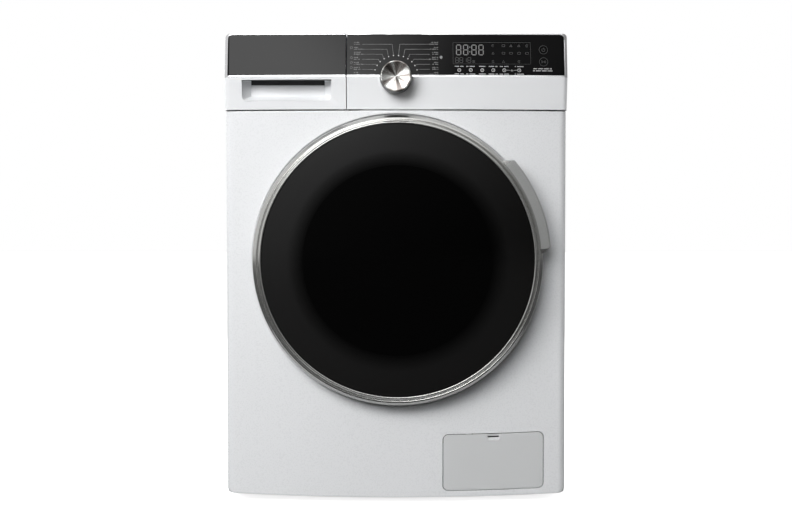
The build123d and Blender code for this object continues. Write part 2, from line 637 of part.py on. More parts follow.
with BuildPart() as rear_screws:
    screw_spots = [(x, z) for x in (-285, -95, 95, 285) for z in (SIDE_LOW + 12, TOP_OF_SIDES - 12)]
    screw_spots += [(x, z) for x in (-285, 285) for z in (270, 540)]
    for x, z in screw_spots:
        add(rod(x, z, 4.2, -DEPTH - 2.2, -DEPTH))
    for x in (-165, 165):
        for z in (-165, 165):
            add(rod(DOOR_X + x, DOOR_Z + z, 4.2, -DEPTH - SKIN - 2.2, -DEPTH - SKIN))
rear_screws.part.label = "rear_screws"
export_step(rear_screws.part, "parts/rear_screws.step")

# ---------------------------------------------------------------- tub

front_tub_profile = [
    (166, -58),
    (170, -58),
    (170, -76),
    (TUB_R + TUB_WALL, -76),
    (TUB_R + TUB_WALL, -TUB_SPLIT + 6),
    (TUB_R + 11, -TUB_SPLIT + 6),
    (TUB_R + 11, -TUB_SPLIT),
    (TUB_R, -TUB_SPLIT),
    (TUB_R, -TUB_FRONT),
    (166, -TUB_FRONT),
]
EAR_Z = 540.0
with BuildPart() as tub_front_shell:
    add(turned(front_tub_profile))
    for side in (-1, 1):
        x_in, x_out = DOOR_X + side * 236, side * 290
        add(bar_between(x_in, x_out, FRONT + SPRING_Y[0], EAR_Z - 6, EAR_Z + 6, 8))
        x_in, x_out = DOOR_X + side * (DAMPER_X - 10), DOOR_X + side * (DAMPER_X + 10)
        add(bar_between(x_in, x_out, FRONT + DAMPER_Y[0], 212, 236, 9))
    add(post(SUMP_X, depth(SUMP_AHEAD), 13, 150, 182))  # sump outlet
    add(rod(DOOR_X, DOOR_Z, TUB_R, -TUB_SPLIT - 1, -TUB_FRONT), mode=Mode.SUBTRACT)
    add(post(SUMP_X, depth(SUMP_AHEAD), 10.5, 149, 200), mode=Mode.SUBTRACT)
tub_front_shell.part.label = "tub_front_shell"
export_step(tub_front_shell.part, "parts/tub_front_shell.step")

rear_tub_profile = [
    (TUB_R, -TUB_SPLIT),
    (TUB_R + 11, -TUB_SPLIT),
    (TUB_R + 11, -TUB_SPLIT - 6),
    (TUB_R + TUB_WALL, -TUB_SPLIT - 6),
    (TUB_R + TUB_WALL, -TUB_REAR - 6),
    (44, -TUB_REAR - 6),
    (44, -480),
    (BEARING_R, -480),
    (BEARING_R, -464),
    (18, -464),
    (18, -452),
    (BEARING_R, -452),
    (BEARING_R, -436),
    (44, -436),
    (44, -TUB_REAR),
    (TUB_R, -TUB_REAR),
]
with BuildPart() as tub_rear_shell:
    add(turned(rear_tub_profile))
    for side in (-1, 1):
        x_in, x_out = DOOR_X + side * 236, side * 290
        add(bar_between(x_in, x_out, FRONT + SPRING_Y[1], EAR_Z - 6, EAR_Z + 6, 8))
        x_in, x_out = DOOR_X + side * (DAMPER_X - 10), DOOR_X + side * (DAMPER_X + 10)
        add(bar_between(x_in, x_out, FRONT + DAMPER_Y[1], 212, 236, 9))
    # stiffening ribs between the bearing hub and the rim
    with Locations(Location((DOOR_X, depth(-TUB_REAR - 6), DOOR_Z), (90, 0, 0))):
        with PolarLocations(148, 12, start_angle=15):
            Box(220, 4, 16, align=(Align.CENTER, Align.CENTER, Align.MAX))
    add(rod(DOOR_X, DOOR_Z, BEARING_R, -481, -464), mode=Mode.SUBTRACT)
    add(post(FILL_X, depth(FILL_AHEAD), 16, 630, 664))
    add(rod(DOOR_X, DOOR_Z, TUB_R, -TUB_REAR, -TUB_SPLIT + 1), mode=Mode.SUBTRACT)
    add(post(FILL_X, depth(FILL_AHEAD), 13, 600, 665), mode=Mode.SUBTRACT)
    for side in (-1, 1):
        add(rod(DOOR_X + side * 24, 181, 4.3, -460, -430), mode=Mode.SUBTRACT)
tub_rear_shell.part.label = "tub_rear_shell"
export_step(tub_rear_shell.part, "parts/tub_rear_shell.step")

with BuildPart() as front_counterweights:
    for up in (1, -1):
        with BuildSketch(facing(-75.5, DOOR_X, DOOR_Z)):
            Circle(WEIGHT_R)
            Circle(192, mode=Mode.SUBTRACT)
            with BuildLine():
                edge_low, edge_high = up * WEIGHT_R / 2, up * (WEIGHT_R + 10)
                Polyline((0, 0), (-WEIGHT_R, edge_low), (-WEIGHT_R, edge_high), (WEIGHT_R, edge_high))
                Polyline((WEIGHT_R, edge_high), (WEIGHT_R, edge_low), (0, 0))
            make_face(mode=Mode.INTERSECT)
        extrude(amount=33)
    fillet(front_counterweights.faces().sort_by(Axis.Y)[:2].edges(), 4)
front_counterweights.part.label = "front_counterweights"
export_step(front_counterweights.part, "parts/front_counterweights.step")

with BuildPart() as drum_bearings:
    for at in (-452, -480):
        with BuildSketch(facing(at, DOOR_X, DOOR_Z)):
            Circle(BEARING_R)
            Circle(SHAFT_R + 0.05, mode=Mode.SUBTRACT)
        extrude(amount=16)
drum_bearings.part.label = "drum_bearings"
export_step(drum_bearings.part, "parts/drum_bearings.step")

with BuildPart() as motor_housing:
    add(rod(MOTOR_X, MOTOR_Z, MOTOR_R, -455, -340))
    add(rod(MOTOR_X, MOTOR_Z, MOTOR_R - 8, -462, -454))
    add(slab(MOTOR_X - 40, MOTOR_X + 40, depth(-360), depth(-372), MOTOR_Z + 30, 168))
    add(slab(MOTOR_X - 40, MOTOR_X + 40, depth(-425), depth(-437), MOTOR_Z + 30, 168))
    add(rod(DOOR_X, DOOR_Z, TUB_R + TUB_WALL + 0.2, -470, -330), mode=Mode.SUBTRACT)
    add(rod(MOTOR_X, MOTOR_Z, 6.05, -463, -400), mode=Mode.SUBTRACT)
motor_housing.part.label = "motor_housing"
export_step(motor_housing.part, "parts/motor_housing.step")

with BuildPart() as motor_pulley:
    add(rod(MOTOR_X, MOTOR_Z, 6.0, -PULLEY_AT - PULLEY_W - 2, -401))
    add(rod(MOTOR_X, MOTOR_Z, MOTOR_PULLEY_R, -PULLEY_AT - PULLEY_W, -PULLEY_AT))
motor_pulley.part.label = "motor_pulley"
export_step(motor_pulley.part, "parts/motor_pulley.step")

HEATER_HALF, HEATER_Z, HEATER_R = 24.0, 181.0, 4.0
HEATER_AT, HEATER_END = -124.0, -466.0
with BuildPart() as heater_bend:
    with BuildSketch(facing(HEATER_AT, DOOR_X + HEATER_HALF, HEATER_Z)):
        Circle(HEATER_R)
    revolve(axis=Axis((DOOR_X, depth(HEATER_AT), HEATER_Z), (0, 0, 1)), revolution_arc=180)

with BuildPart() as heater_element:
    for side in (-1, 1):
        add(rod(DOOR_X + side * HEATER_HALF, HEATER_Z, HEATER_R, HEATER_END, HEATER_AT))
    add(heater_bend.part)
    add(slab(DOOR_X - 36, DOOR_X + 36, depth(-454), depth(-446.2), HEATER_Z - 9, HEATER_Z + 9))
heater_element.part.label = "heater_element"
export_step(heater_element.part, "parts/heater_element.step")


def belt_loop(clear):
    """Outline round both pulleys, at a distance from them."""
    run_x, run_z = MOTOR_X - DOOR_X, MOTOR_Z - DOOR_Z
    span = sqrt(run_x**2 + run_z**2)
    big, small = DRUM_PULLEY_R + clear, MOTOR_PULLEY_R + clear
    lean = acos((big - small) / span)  # tangent points from the line between the centres
    base = atan2(run_z, run_x)
    one, two = base + lean, base - lean
    with BuildSketch(facing(-PULLEY_AT - 13, DOOR_X, DOOR_Z), mode=Mode.PRIVATE) as loop:
        with BuildLine():
            far = polar_point(0, 0, big, base + pi)
            near = polar_point(run_x, run_z, small, base)
            a1, a2 = polar_point(0, 0, big, one), polar_point(0, 0, big, two)
            b1, b2 = polar_point(run_x, run_z, small, one), polar_point(run_x, run_z, small, two)
            ThreePointArc(a1, far, a2)
            Line(a2, b2)
            ThreePointArc(b2, near, b1)
            Line(b1, a1)
        make_face()
    return loop.sketch


with BuildPart() as drive_belt:
    add(extrude(belt_loop(4.0), amount=12))
    add(extrude(belt_loop(0.35), amount=12), mode=Mode.SUBTRACT)
drive_belt.part.label = "drive_belt"
export_step(drive_belt.part, "parts/drive_belt.step")

with BuildPart() as damper_cylinders:
    for damper_y in DAMPER_Y:
        for damper_x in (-DAMPER_X, DAMPER_X):
            x, y = DOOR_X + damper_x, FRONT + damper_y
            add(post(x, y, 14, 30, 150))
            add(post(x, y, 5.3, 60, 151), mode=Mode.SUBTRACT)
damper_cylinders.part.label = "damper_cylinders"
export_step(damper_cylinders.part, "parts/damper_cylinders.step")

with BuildPart() as damper_rods:
    for damper_y in DAMPER_Y:
        for damper_x in (-DAMPER_X, DAMPER_X):
            x, y = DOOR_X + damper_x, FRONT + damper_y
            add(post(x, y, 5, 80, 212))
            add(post(x, y, 9, 186, 192))
damper_rods.part.label = "damper_rods"
export_step(damper_rods.part, "parts/damper_rods.step")


def spring(x, y):
    """Closed tube with the size of a wound coil, and a straight hook at each end."""
    with BuildPart(mode=Mode.PRIVATE) as coil:
        add(post(x, y, 9, SPRING_LOW + 14, SPRING_HIGH - 10))
        add(post(x, y, 5.5, SPRING_LOW + 18, SPRING_HIGH - 14), mode=Mode.SUBTRACT)
        add(post(x, y, 2, SPRING_LOW - 7, SPRING_LOW + 14))
        add(post(x, y, 2, SPRING_HIGH - 10, SPRING_HIGH + 4))
    return coil.part


with BuildPart() as suspension_springs:
    for side in (-1, 1):
        for spring_y in SPRING_Y:
            add(spring(side * SPRING_X, FRONT + spring_y))
suspension_springs.part.label = "suspension_springs"
export_step(suspension_springs.part, "parts/suspension_springs.step")

# ---------------------------------------------------------------- drum

SHEET = 1.5
drum_out = DRUM_R + SHEET
front_ring_profile = [
    (158, -DRUM_FRONT + 2),
    (162, -DRUM_FRONT + 4),
    (drum_out, -DRUM_FRONT + 4),
    (drum_out, -DRUM_FRONT - 8),
    (DRUM_R, -DRUM_FRONT - 8),
    (DRUM_R, -DRUM_FRONT + 2),
    (163, -DRUM_FRONT + 2),
    (160, -DRUM_FRONT),
    (160, -DRUM_FRONT - 6),
    (158, -DRUM_FRONT - 6),
]
with BuildPart() as drum_front_ring:
    add(turned(front_ring_profile))
drum_front_ring.part.label = "drum_front_ring"
export_step(drum_front_ring.part, "parts/drum_front_ring.step")

wrapper_profile = [
    (DRUM_R, -DRUM_FRONT - 8),
    (drum_out, -DRUM_FRONT - 8),
    (drum_out, -DRUM_REAR),
    (DRUM_R, -DRUM_REAR),
]
with BuildPart() as drum_wrapper:
    add(turned(wrapper_profile))
drum_wrapper.part.label = "drum_wrapper"
export_step(drum_wrapper.part, "parts/drum_wrapper.step")

with BuildPart() as drum_rear_wall:
    with BuildSketch(facing(-DRUM_REAR - SHEET, DOOR_X, DOOR_Z)):
        Circle(drum_out)
        with PolarLocations(150, 12):
            Circle(7, mode=Mode.SUBTRACT)
        with PolarLocations(200, 18):
            Circle(7, mode=Mode.SUBTRACT)
    extrude(amount=SHEET)
drum_rear_wall.part.label = "drum_rear_wall"
export_step(drum_rear_wall.part, "parts/drum_rear_wall.step")

SPIDER_AT = -DRUM_REAR - SHEET
with BuildPart() as drum_spider:
    add(rod(DOOR_X, DOOR_Z, 34, SPIDER_AT - 12, SPIDER_AT))
    with Locations(Location((DOOR_X, depth(SPIDER_AT - 10), DOOR_Z), (90, 0, 0))):
        with PolarLocations(128, 3, start_angle=30):
            Box(210, 30, 10, align=(Align.CENTER, Align.CENTER, Align.MIN))
    add(rod(DOOR_X, DOOR_Z, SHAFT_R, -PULLEY_AT - PULLEY_W - 8, SPIDER_AT))
drum_spider.part.label = "drum_spider"
export_step(drum_spider.part, "parts/drum_spider.step")

LIFTER_TALL, LIFTER_LONG = 48.0, 300.0
with BuildPart() as lifter:  # lies along +Z, its foot towards +X
    with BuildSketch():
        with BuildLine():
            foot, shoulder, crest = DRUM_R + 4, DRUM_R - 8, DRUM_R - LIFTER_TALL
            Polyline((crest, -10), (shoulder, -30), (foot, -34), (foot, 34), (shoulder, 30), (crest, 10))
            Line((crest, 10), (crest, -10))
        section = make_face()
        fillet(section.vertices().group_by(Axis.X)[0], 8)
    extrude(amount=LIFTER_LONG)
    with BuildSketch(Plane.XZ.offset(-60)):
        with BuildLine():
            Polyline((foot, 0), (crest, 16), (crest, LIFTER_LONG - 16), (foot, LIFTER_LONG), close=True)
        make_face()
    extrude(amount=120, mode=Mode.INTERSECT)

with BuildPart() as drum_lifters:
    lay_down = Location((DOOR_X, depth(-DRUM_REAR + 10), DOOR_Z), (90, 0, 0))
    for angle in (90, 210, 330):
        add(lifter.part.moved(lay_down * Location((0, 0, 0), (0, 0, angle))))
    with BuildSketch(facing(-DRUM_REAR, DOOR_X, DOOR_Z)):
        Circle(DRUM_R - 0.05)
    extrude(amount=DRUM_REAR, mode=Mode.INTERSECT)
drum_lifters.part.label = "drum_lifters"
export_step(drum_lifters.part, "parts/drum_lifters.step")

with BuildPart() as drum_pulley:
    with BuildSketch(facing(-PULLEY_AT - PULLEY_W, DOOR_X, DOOR_Z)):
        Circle(DRUM_PULLEY_R)
        Circle(DRUM_PULLEY_R - 9, mode=Mode.SUBTRACT)
        Circle(30)
        with PolarLocations(80, 6):
            Rectangle(112, 16)
        Circle(SHAFT_R, mode=Mode.SUBTRACT)
    extrude(amount=PULLEY_W)
drum_pulley.part.label = "drum_pulley"
export_step(drum_pulley.part, "parts/drum_pulley.step")

# ---------------------------------------------------------------- door

ring_profile = [
    (RING_R - 3, 6),
    (RING_R, 10),
    (RING_R - 0.5, 24),
    (RING_R - 3, 38),
    (RING_R - 7, 48),
    (RING_R - 11, 52),
    (RING_R - 14, 52.5),
    (GLASS_R + 0.5, 56.5),
    (GLASS_R - 0.5, 55.5),
    (GLASS_R - 0.5, 50),
    (GLASS_R - 10, 50),
    (GLASS_R - 10, 47),
    (RING_R - 14, 46),
    (RING_R - 5, 36),
    (RING_R - 3.5, 24),
]
LUG_FROM, LUG_TO, LUG_OUT = 5.0, 40.0, 12.0
far = RING_R + 60
lug_corners = [  # (angle, radius) of the wedge that the handle lug fills
    (LUG_FROM - 3.5, RING_R - 8),
    (LUG_FROM, RING_R + LUG_OUT),
    (LUG_FROM, far),
    ((LUG_FROM + LUG_TO) / 2, far * 1.2),
    (LUG_TO, far),
    (LUG_TO, RING_R + LUG_OUT),
    (LUG_TO + 4.5, RING_R - 8),
]
with BuildPart() as door_ring:
    add(turned(ring_profile))
    with BuildSketch(facing(31, DOOR_X, DOOR_Z)):
        Circle(RING_R + LUG_OUT)
        Circle(RING_R - 4, mode=Mode.SUBTRACT)
        with BuildLine():
            Polyline(*[polar_point(0, 0, r, radians(a)) for a, r in lug_corners], close=True)
        make_face(mode=Mode.INTERSECT)
    extrude(amount=14)
    # notch that the hinge arm passes through as the door opens
    notch = slab(-262, -228, depth(4), depth(28), DOOR_Z - ARM_HALF - 2, DOOR_Z + ARM_HALF + 2)
    add(notch, mode=Mode.SUBTRACT)
door_ring.part.label = "door_ring"
export_step(door_ring.part, "parts/door_ring.step")

GLASS_BACK, GLASS_DOME = 50.2, 5.0
with BuildPart() as door_glass:
    dome_r = ((GLASS_R - 0.8) ** 2 + GLASS_DOME**2) / (2 * GLASS_DOME)
    with BuildSketch(door_section()):
        with BuildLine():
            sweep_angle = degrees(asin((GLASS_R - 0.8) / dome_r))
            dome = CenterArc((0, dome_r - DOOR_STAND), dome_r, -90, sweep_angle)
            Polyline(dome @ 1, ((dome @ 1).X, -GLASS_BACK), (0, -GLASS_BACK), dome @ 0)
        make_face()
    revolve(axis=Axis((DOOR_X, FRONT, DOOR_Z), (0, 1, 0)))
door_glass.part.label = "door_glass"
export_step(door_glass.part, "parts/door_glass.step")

inner_frame_profile = [
    (148, 6),
    (246, 6),
    (247.5, 8),
    (247.5, 24),
    (244, 35),
    (236, 45.5),
    (233, 45.5),
    (241, 34),
    (244, 24),
    (244, 10),
    (168, 10),
    (168, 44),
    (165, 44),
    (165, 10),
    (148, 10),
]
with BuildPart() as door_inner_frame:
    add(turned(inner_frame_profile))
    # room for the hinge arm and the leaf's ears
    add(slab(-262, -232, depth(4), depth(47), DOOR_Z - EAR_OUT, DOOR_Z + EAR_OUT), mode=Mode.SUBTRACT)
    arm_room = slab(-262, -214, depth(4), depth(12), DOOR_Z - ARM_HALF - 2, DOOR_Z + ARM_HALF + 2)
    add(arm_room, mode=Mode.SUBTRACT)
    add(slab(HOOK_X - 9, HOOK_X + 9, depth(4), depth(12), HOOK_Z - 14, HOOK_Z + 14), mode=Mode.SUBTRACT)
    for side in (-1, 1):
        cheek_z = HOOK_Z + side * 18
        add(slab(HOOK_X - 8, HOOK_X + 8, depth(10), depth(32), cheek_z - 4, cheek_z + 4))
    with Locations((HOOK_X, depth(22), HOOK_Z)):
        Cylinder(3, 60, mode=Mode.SUBTRACT)
door_inner_frame.part.label = "door_inner_frame"
export_step(door_inner_frame.part, "parts/door_inner_frame.step")

bowl_profile = [
    (0, -98),
    (60, -96),
    (108, -90),
    (120, -84),
    (146, 2),
    (146.5, 10.5),
    (160, 10.5),
    (160, 15),
    (143, 15),
    (140, 4),
    (115, -79),
    (106, -84.5),
    (60, -90.5),
    (0, -92.5),
]
with BuildPart() as door_glass_bowl:
    add(turned(bowl_profile))
door_glass_bowl.part.label = "door_glass_bowl"
export_step(door_glass_bowl.part, "parts/door_glass_bowl.step")

with BuildPart() as door_hinge_leaf:
    add(slab(-212, -190, depth(10), depth(13), DOOR_Z - 50, DOOR_Z + 50))
    for z in (DOOR_Z - EAR_OUT, DOOR_Z + ARM_HALF + 1):
        with BuildSketch(Plane.XY.offset(z)):
            with BuildLine():
                near, far = depth(PIN_AHEAD + 4), depth(PIN_AHEAD - 4)
                Line((PIN_X, near), (-192, near))
                Polyline((-192, near), (-192, depth(10)), (-212, depth(10)), (-212, far), (PIN_X, far))
                ThreePointArc((PIN_X, far), (PIN_X - 4, depth(PIN_AHEAD)), (PIN_X, near))
            make_face()
        extrude(amount=EAR_OUT - ARM_HALF - 1)
    with Locations((PIN_X, depth(PIN_AHEAD), DOOR_Z)):
        Cylinder(PIN_R + 0.05, 100, mode=Mode.SUBTRACT)
door_hinge_leaf.part.label = "door_hinge_leaf"
export_step(door_hinge_leaf.part, "parts/door_hinge_leaf.step")

# The arm starts behind the front panel, comes forward and turns left to the pin.
with BuildPart() as door_hinge_bracket:
    add(slab(ARM_X - 12, ARM_X + 18, depth(-3), depth(0.5), DOOR_Z - 55, DOOR_Z + 55))
    arm_low, arm_high = DOOR_Z - ARM_HALF, DOOR_Z + ARM_HALF
    add(slab(ARM_X - 2.5, ARM_X + 2.5, depth(0), depth(PIN_AHEAD + 4), arm_low, arm_high))
    add(slab(PIN_X, ARM_X + 2.5, depth(PIN_AHEAD - 1), depth(PIN_AHEAD + 4), arm_low, arm_high))
    with Locations((PIN_X, depth(PIN_AHEAD), DOOR_Z)):
        Cylinder(4, 2 * ARM_HALF)
        Cylinder(PIN_R, 2 * EAR_OUT)
door_hinge_bracket.part.label = "door_hinge_bracket"
export_step(door_hinge_bracket.part, "parts/door_hinge_bracket.step")

with BuildPart() as latch_hook:
    add(slab(HOOK_X - 3, HOOK_X + 3, depth(-14), depth(26), HOOK_Z - 9, HOOK_Z + 9))
    add(slab(HOOK_X - 7, HOOK_X + 3, depth(-14), depth(-8), HOOK_Z - 9, HOOK_Z + 9))
    with Locations((HOOK_X, depth(22), HOOK_Z)):
        Cylinder(4.5, 18)
        Cylinder(2.95, 44)
latch_hook.part.label = "latch_hook"
export_step(latch_hook.part, "parts/latch_hook.step")

with BuildPart() as door_lock:
    add(slab(HOOK_X - 26, HOOK_X + 30, depth(-40), depth(-2), HOOK_Z - 32, HOOK_Z + 32))
    add(slab(HOOK_X - 12, HOOK_X + 17, depth(-24), depth(0), HOOK_Z - 15, HOOK_Z + 15), mode=Mode.SUBTRACT)
    add(rod(DOOR_X, DOOR_Z, MOUTH_R + SKIN + 1, -50, 2), mode=Mode.SUBTRACT)
door_lock.part.label = "door_lock"
export_step(door_lock.part, "parts/door_lock.step")

gasket_profile = [
    (151, -3),
    (171.5, -1),
    (171.5, -30),
    (158, -38),
    (173, -48),
    (173.5, -70),
    (170.5, -70),
    (170.2, -50),
    (153, -39),
    (153, -36),
    (168, -28),
    (168, -5),
    (151, -7),
]
with BuildPart() as door_gasket:
    add(turned(gasket_profile))
door_gasket.part.label = "door_gasket"
export_step(door_gasket.part, "parts/door_gasket.step")

# ---------------------------------------------------------------- pump, filter and flap

# the filter housing's inlet leans up to the left, towards the sump
lean = radians(20)
filter_inlet = Plane(origin=(FILTER_X, depth(-90), FILTER_Z), z_dir=(-cos(lean), 0, sin(lean)))

with BuildPart() as drain_pump:
    add(rod(FILTER_X, FILTER_Z, 40, -110, -14))
    add(rod(FILTER_X, FILTER_Z, 30, -165, -110))
    add(slab(FILTER_X - 30, FILTER_X + 30, depth(-60), depth(-150), 16.5, 40))
    add(rod(FILTER_X, FILTER_Z, 36.3, -100, -13), mode=Mode.SUBTRACT)
    with BuildSketch(filter_inlet.offset(38)):
        Circle(13)
    extrude(amount=24)
    with BuildSketch(filter_inlet.offset(30)):
        Circle(10.5)
    extrude(amount=40, mode=Mode.SUBTRACT)
    with Locations(Location((FILTER_X, depth(-130), FILTER_Z + 20))):
        Cylinder(9, 34, align=(Align.CENTER, Align.CENTER, Align.MIN))
        Cylinder(6, 80, mode=Mode.SUBTRACT)
drain_pump.part.label = "drain_pump"
export_step(drain_pump.part, "parts/drain_pump.step")

with BuildPart() as filter_cap:
    add(rod(FILTER_X, FILTER_Z, 36.0, -24, -12))
    add(rod(FILTER_X, FILTER_Z, 38.5, -13.8, -8))
    add(slab(FILTER_X - 30, FILTER_X + 30, depth(-10), depth(-2), FILTER_Z - 5, FILTER_Z + 5))
    add(rod(FILTER_X, FILTER_Z, 30, -94, -24))
    add(rod(FILTER_X, FILTER_Z, 27, -95, -26), mode=Mode.SUBTRACT)
    for step in range(4):
        middle = depth(-36 - 15 * step)
        with Locations((FILTER_X, middle, FILTER_Z)):
            Box(80, 8, 24, mode=Mode.SUBTRACT)
            Box(24, 8, 80, mode=Mode.SUBTRACT)
filter_cap.part.label = "filter_cap"
export_step(filter_cap.part, "parts/filter_cap.step")

hose_end = filter_inlet.origin + filter_inlet.z_dir * 42
hose_bend = filter_inlet.origin + filter_inlet.z_dir * 84
sump_route = (
    (SUMP_X, depth(SUMP_AHEAD), 172),
    (SUMP_X, depth(SUMP_AHEAD), 132),
    (SUMP_X + 4, depth(SUMP_AHEAD + 12), 112),
    tuple(hose_bend),
    tuple(hose_end),
)
with BuildPart() as sump_hose:
    add(hose("sump_hose", sump_route, 16, 13.2))
sump_hose.part.label = "sump_hose"
export_step(sump_hose.part, "parts/sump_hose.step")

drain_route = (
    (FILTER_X, depth(-130), FILTER_Z + 44),
    (FILTER_X, depth(-130), FILTER_Z + 84),
    (FILTER_X + 50, depth(-150), 226),
    (FILTER_X + 96, depth(-180), 310),
    (FILTER_X + 110, depth(-202), 420),
    (FILTER_X + 110, depth(-206), 520),
    (FILTER_X + 92, depth(-240), 625),
    (FILTER_X + 70, depth(-310), 704),
    (FILTER_X + 36, depth(-400), 726),
    (FILTER_X - 40, depth(-465), 728),
    (50, depth(-488), 727),
    (-60, depth(-494), 729),
    (-160, depth(-493), 722),
    (OUTLET_X + 15, depth(-498), OUTLET_Z + 8),
    (OUTLET_X, depth(-515), OUTLET_Z),
    (OUTLET_X, depth(-DEPTH + 4), OUTLET_Z),
)
with BuildPart() as drain_hose:
    add(hose("drain_hose", drain_route, 11.5, 9.2))
drain_hose.part.label = "drain_hose"
export_step(drain_hose.part, "parts/drain_hose.step")

with BuildPart() as drain_outlet:
    add(rod(OUTLET_X, OUTLET_Z, OUTLET_R, -DEPTH - 25, -DEPTH + 2))
    add(rod(OUTLET_X, OUTLET_Z, 9, -DEPTH, -DEPTH + 16))
    add(rod(OUTLET_X, OUTLET_Z, 18, -DEPTH - 3, -DEPTH))
    add(rod(OUTLET_X, OUTLET_Z, 7, -DEPTH - 26, -DEPTH + 25), mode=Mode.SUBTRACT)
drain_outlet.part.label = "drain_outlet"
export_step(drain_outlet.part, "parts/drain_outlet.step")

with BuildPart() as filter_flap:
    add(panel_block.part)
    add(panel_core.part, mode=Mode.SUBTRACT)
    add(flap_outline(0), mode=Mode.INTERSECT)
    # thumb scoop at the top edge
    flap_middle = (FLAP_X0 + FLAP_X1) / 2
    with Locations((flap_middle, depth(BOW - 1), flap_edge(flap_middle) + FLAP_TALL)):
        Box(20, 7, 20, mode=Mode.SUBTRACT)
    # hinge pins, each in a knuckle behind the skin
    for low_x, high_x in ((FLAP_X0 - PIN_LONG, FLAP_X0 + 9), (FLAP_X1 - 9, FLAP_X1 + PIN_LONG)):
        add(flap_pin(FLAP_PIN_R, low_x, high_x))
    for knuckle_x in (FLAP_X0 + 5, FLAP_X1 - 5):
        pivot = flap_axis_at(knuckle_x)
        add(slab(knuckle_x - 4, knuckle_x + 4, pivot.Y - 2.6, pivot.Y, pivot.Z - 1.8, pivot.Z + 1.8))
filter_flap.part.label = "filter_flap"
export_step(filter_flap.part, "parts/filter_flap.step")

# ---------------------------------------------------------------- feet

FEET = (
    ("foot_front_left", -FOOT_X, FRONT + FOOT_Y[0]),
    ("foot_front_right", FOOT_X, FRONT + FOOT_Y[0]),
    ("foot_rear_left", -FOOT_X, FRONT + FOOT_Y[1]),
    ("foot_rear_right", FOOT_X, FRONT + FOOT_Y[1]),
)
for foot_name, x, y in FEET:
    with BuildPart() as foot:
        add(post(x, y, 22, 0, 8))
        chamfer(foot.edges().group_by(Axis.Z)[-1], 3)
        with BuildSketch(Plane.XY.offset(8)):
            with Locations((x, y)):
                RegularPolygon(8.5, 6)
        extrude(amount=5)
        add(post(x, y, 5, 13, 40))
    foot.part.label = foot_name
    export_step(foot.part, f"parts/{foot_name}.step")
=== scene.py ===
import json
import math

import bmesh
import bpy
import numpy as np
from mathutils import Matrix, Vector

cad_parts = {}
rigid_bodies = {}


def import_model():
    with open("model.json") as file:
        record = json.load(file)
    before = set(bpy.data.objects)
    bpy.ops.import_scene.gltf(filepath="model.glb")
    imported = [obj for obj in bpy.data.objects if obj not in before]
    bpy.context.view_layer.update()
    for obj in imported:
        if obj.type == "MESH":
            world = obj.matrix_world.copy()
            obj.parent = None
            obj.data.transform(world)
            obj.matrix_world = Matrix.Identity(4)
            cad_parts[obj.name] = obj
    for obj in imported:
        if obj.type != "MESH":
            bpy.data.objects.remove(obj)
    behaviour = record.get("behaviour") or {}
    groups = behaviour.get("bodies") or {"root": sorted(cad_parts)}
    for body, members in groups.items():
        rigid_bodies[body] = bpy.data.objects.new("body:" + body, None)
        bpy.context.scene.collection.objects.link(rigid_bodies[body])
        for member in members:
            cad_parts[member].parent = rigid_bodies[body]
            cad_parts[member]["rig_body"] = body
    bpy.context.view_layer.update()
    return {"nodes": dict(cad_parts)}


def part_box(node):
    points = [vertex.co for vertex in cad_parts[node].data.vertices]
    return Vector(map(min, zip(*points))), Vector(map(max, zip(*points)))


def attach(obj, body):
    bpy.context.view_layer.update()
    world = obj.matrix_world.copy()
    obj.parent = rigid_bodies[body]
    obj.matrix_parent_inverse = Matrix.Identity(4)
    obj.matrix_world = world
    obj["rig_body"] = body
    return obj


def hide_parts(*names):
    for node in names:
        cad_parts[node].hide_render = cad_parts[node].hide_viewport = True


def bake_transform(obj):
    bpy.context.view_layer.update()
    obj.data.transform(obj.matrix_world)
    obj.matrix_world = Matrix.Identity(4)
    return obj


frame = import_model()
print("frame loaded,", len(frame["nodes"]), "nodes")

mm = 0.001
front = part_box("front_panel")[1].y / mm - 20.0  # y of the front side edges, in mm
doorMiddle = [(a + b) / 2 / mm for a, b in zip(*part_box("drum_wrapper"))]
doorX, doorZ = doorMiddle[0], doorMiddle[2]
knobMiddle = [(a + b) / 2 / mm for a, b in zip(*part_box("knob_face"))]
knobX, knobZ = knobMiddle[0], knobMiddle[2]


# shapes: every surface is a grid of points, in mm, with y = front - ahead

def samples(*stretches):
    # positions from (from, to, count) stretches laid end to end, closest together at each stretch's ends
    parts = []
    for a, b, n in stretches:
        u = np.linspace(0, 1, n + 1)
        parts.append(a + (b - a) * (0.5 * u + 0.5 * (0.5 - 0.5 * np.cos(np.pi * u))))
    return np.concatenate([parts[0]] + [p[1:] for p in parts[1:]])


def gridFaces(rows, cols, closeRows=False, closeCols=False, start=0):
    # quads between neighbouring rows and columns of a grid stored row by row
    r = np.arange(rows if closeRows else rows - 1)[:, None]
    c = np.arange(cols if closeCols else cols - 1)[None, :]
    rNext, cNext = (r + 1) % rows, (c + 1) % cols
    quads = np.stack([r * cols + c, r * cols + cNext, rNext * cols + cNext, rNext * cols + c], -1)
    return quads.reshape(-1, 4) + start


def roll(inside, radius):
    # how far an edge of that radius has turned back, at a distance inside its outline
    s = np.clip(inside, 0, radius)
    return radius - np.sqrt(np.maximum(radius**2 - (radius - s) ** 2, 0))


def arcRise(x, half, sag):
    # height of a circular arc over its chord: sqrt(R^2 - x^2) - (R - sag), R = (half^2 + sag^2) / 2 sag
    radius = (half**2 + sag**2) / (2 * sag)
    return np.sqrt(np.maximum(radius**2 - x**2, 0)) - (radius - sag)


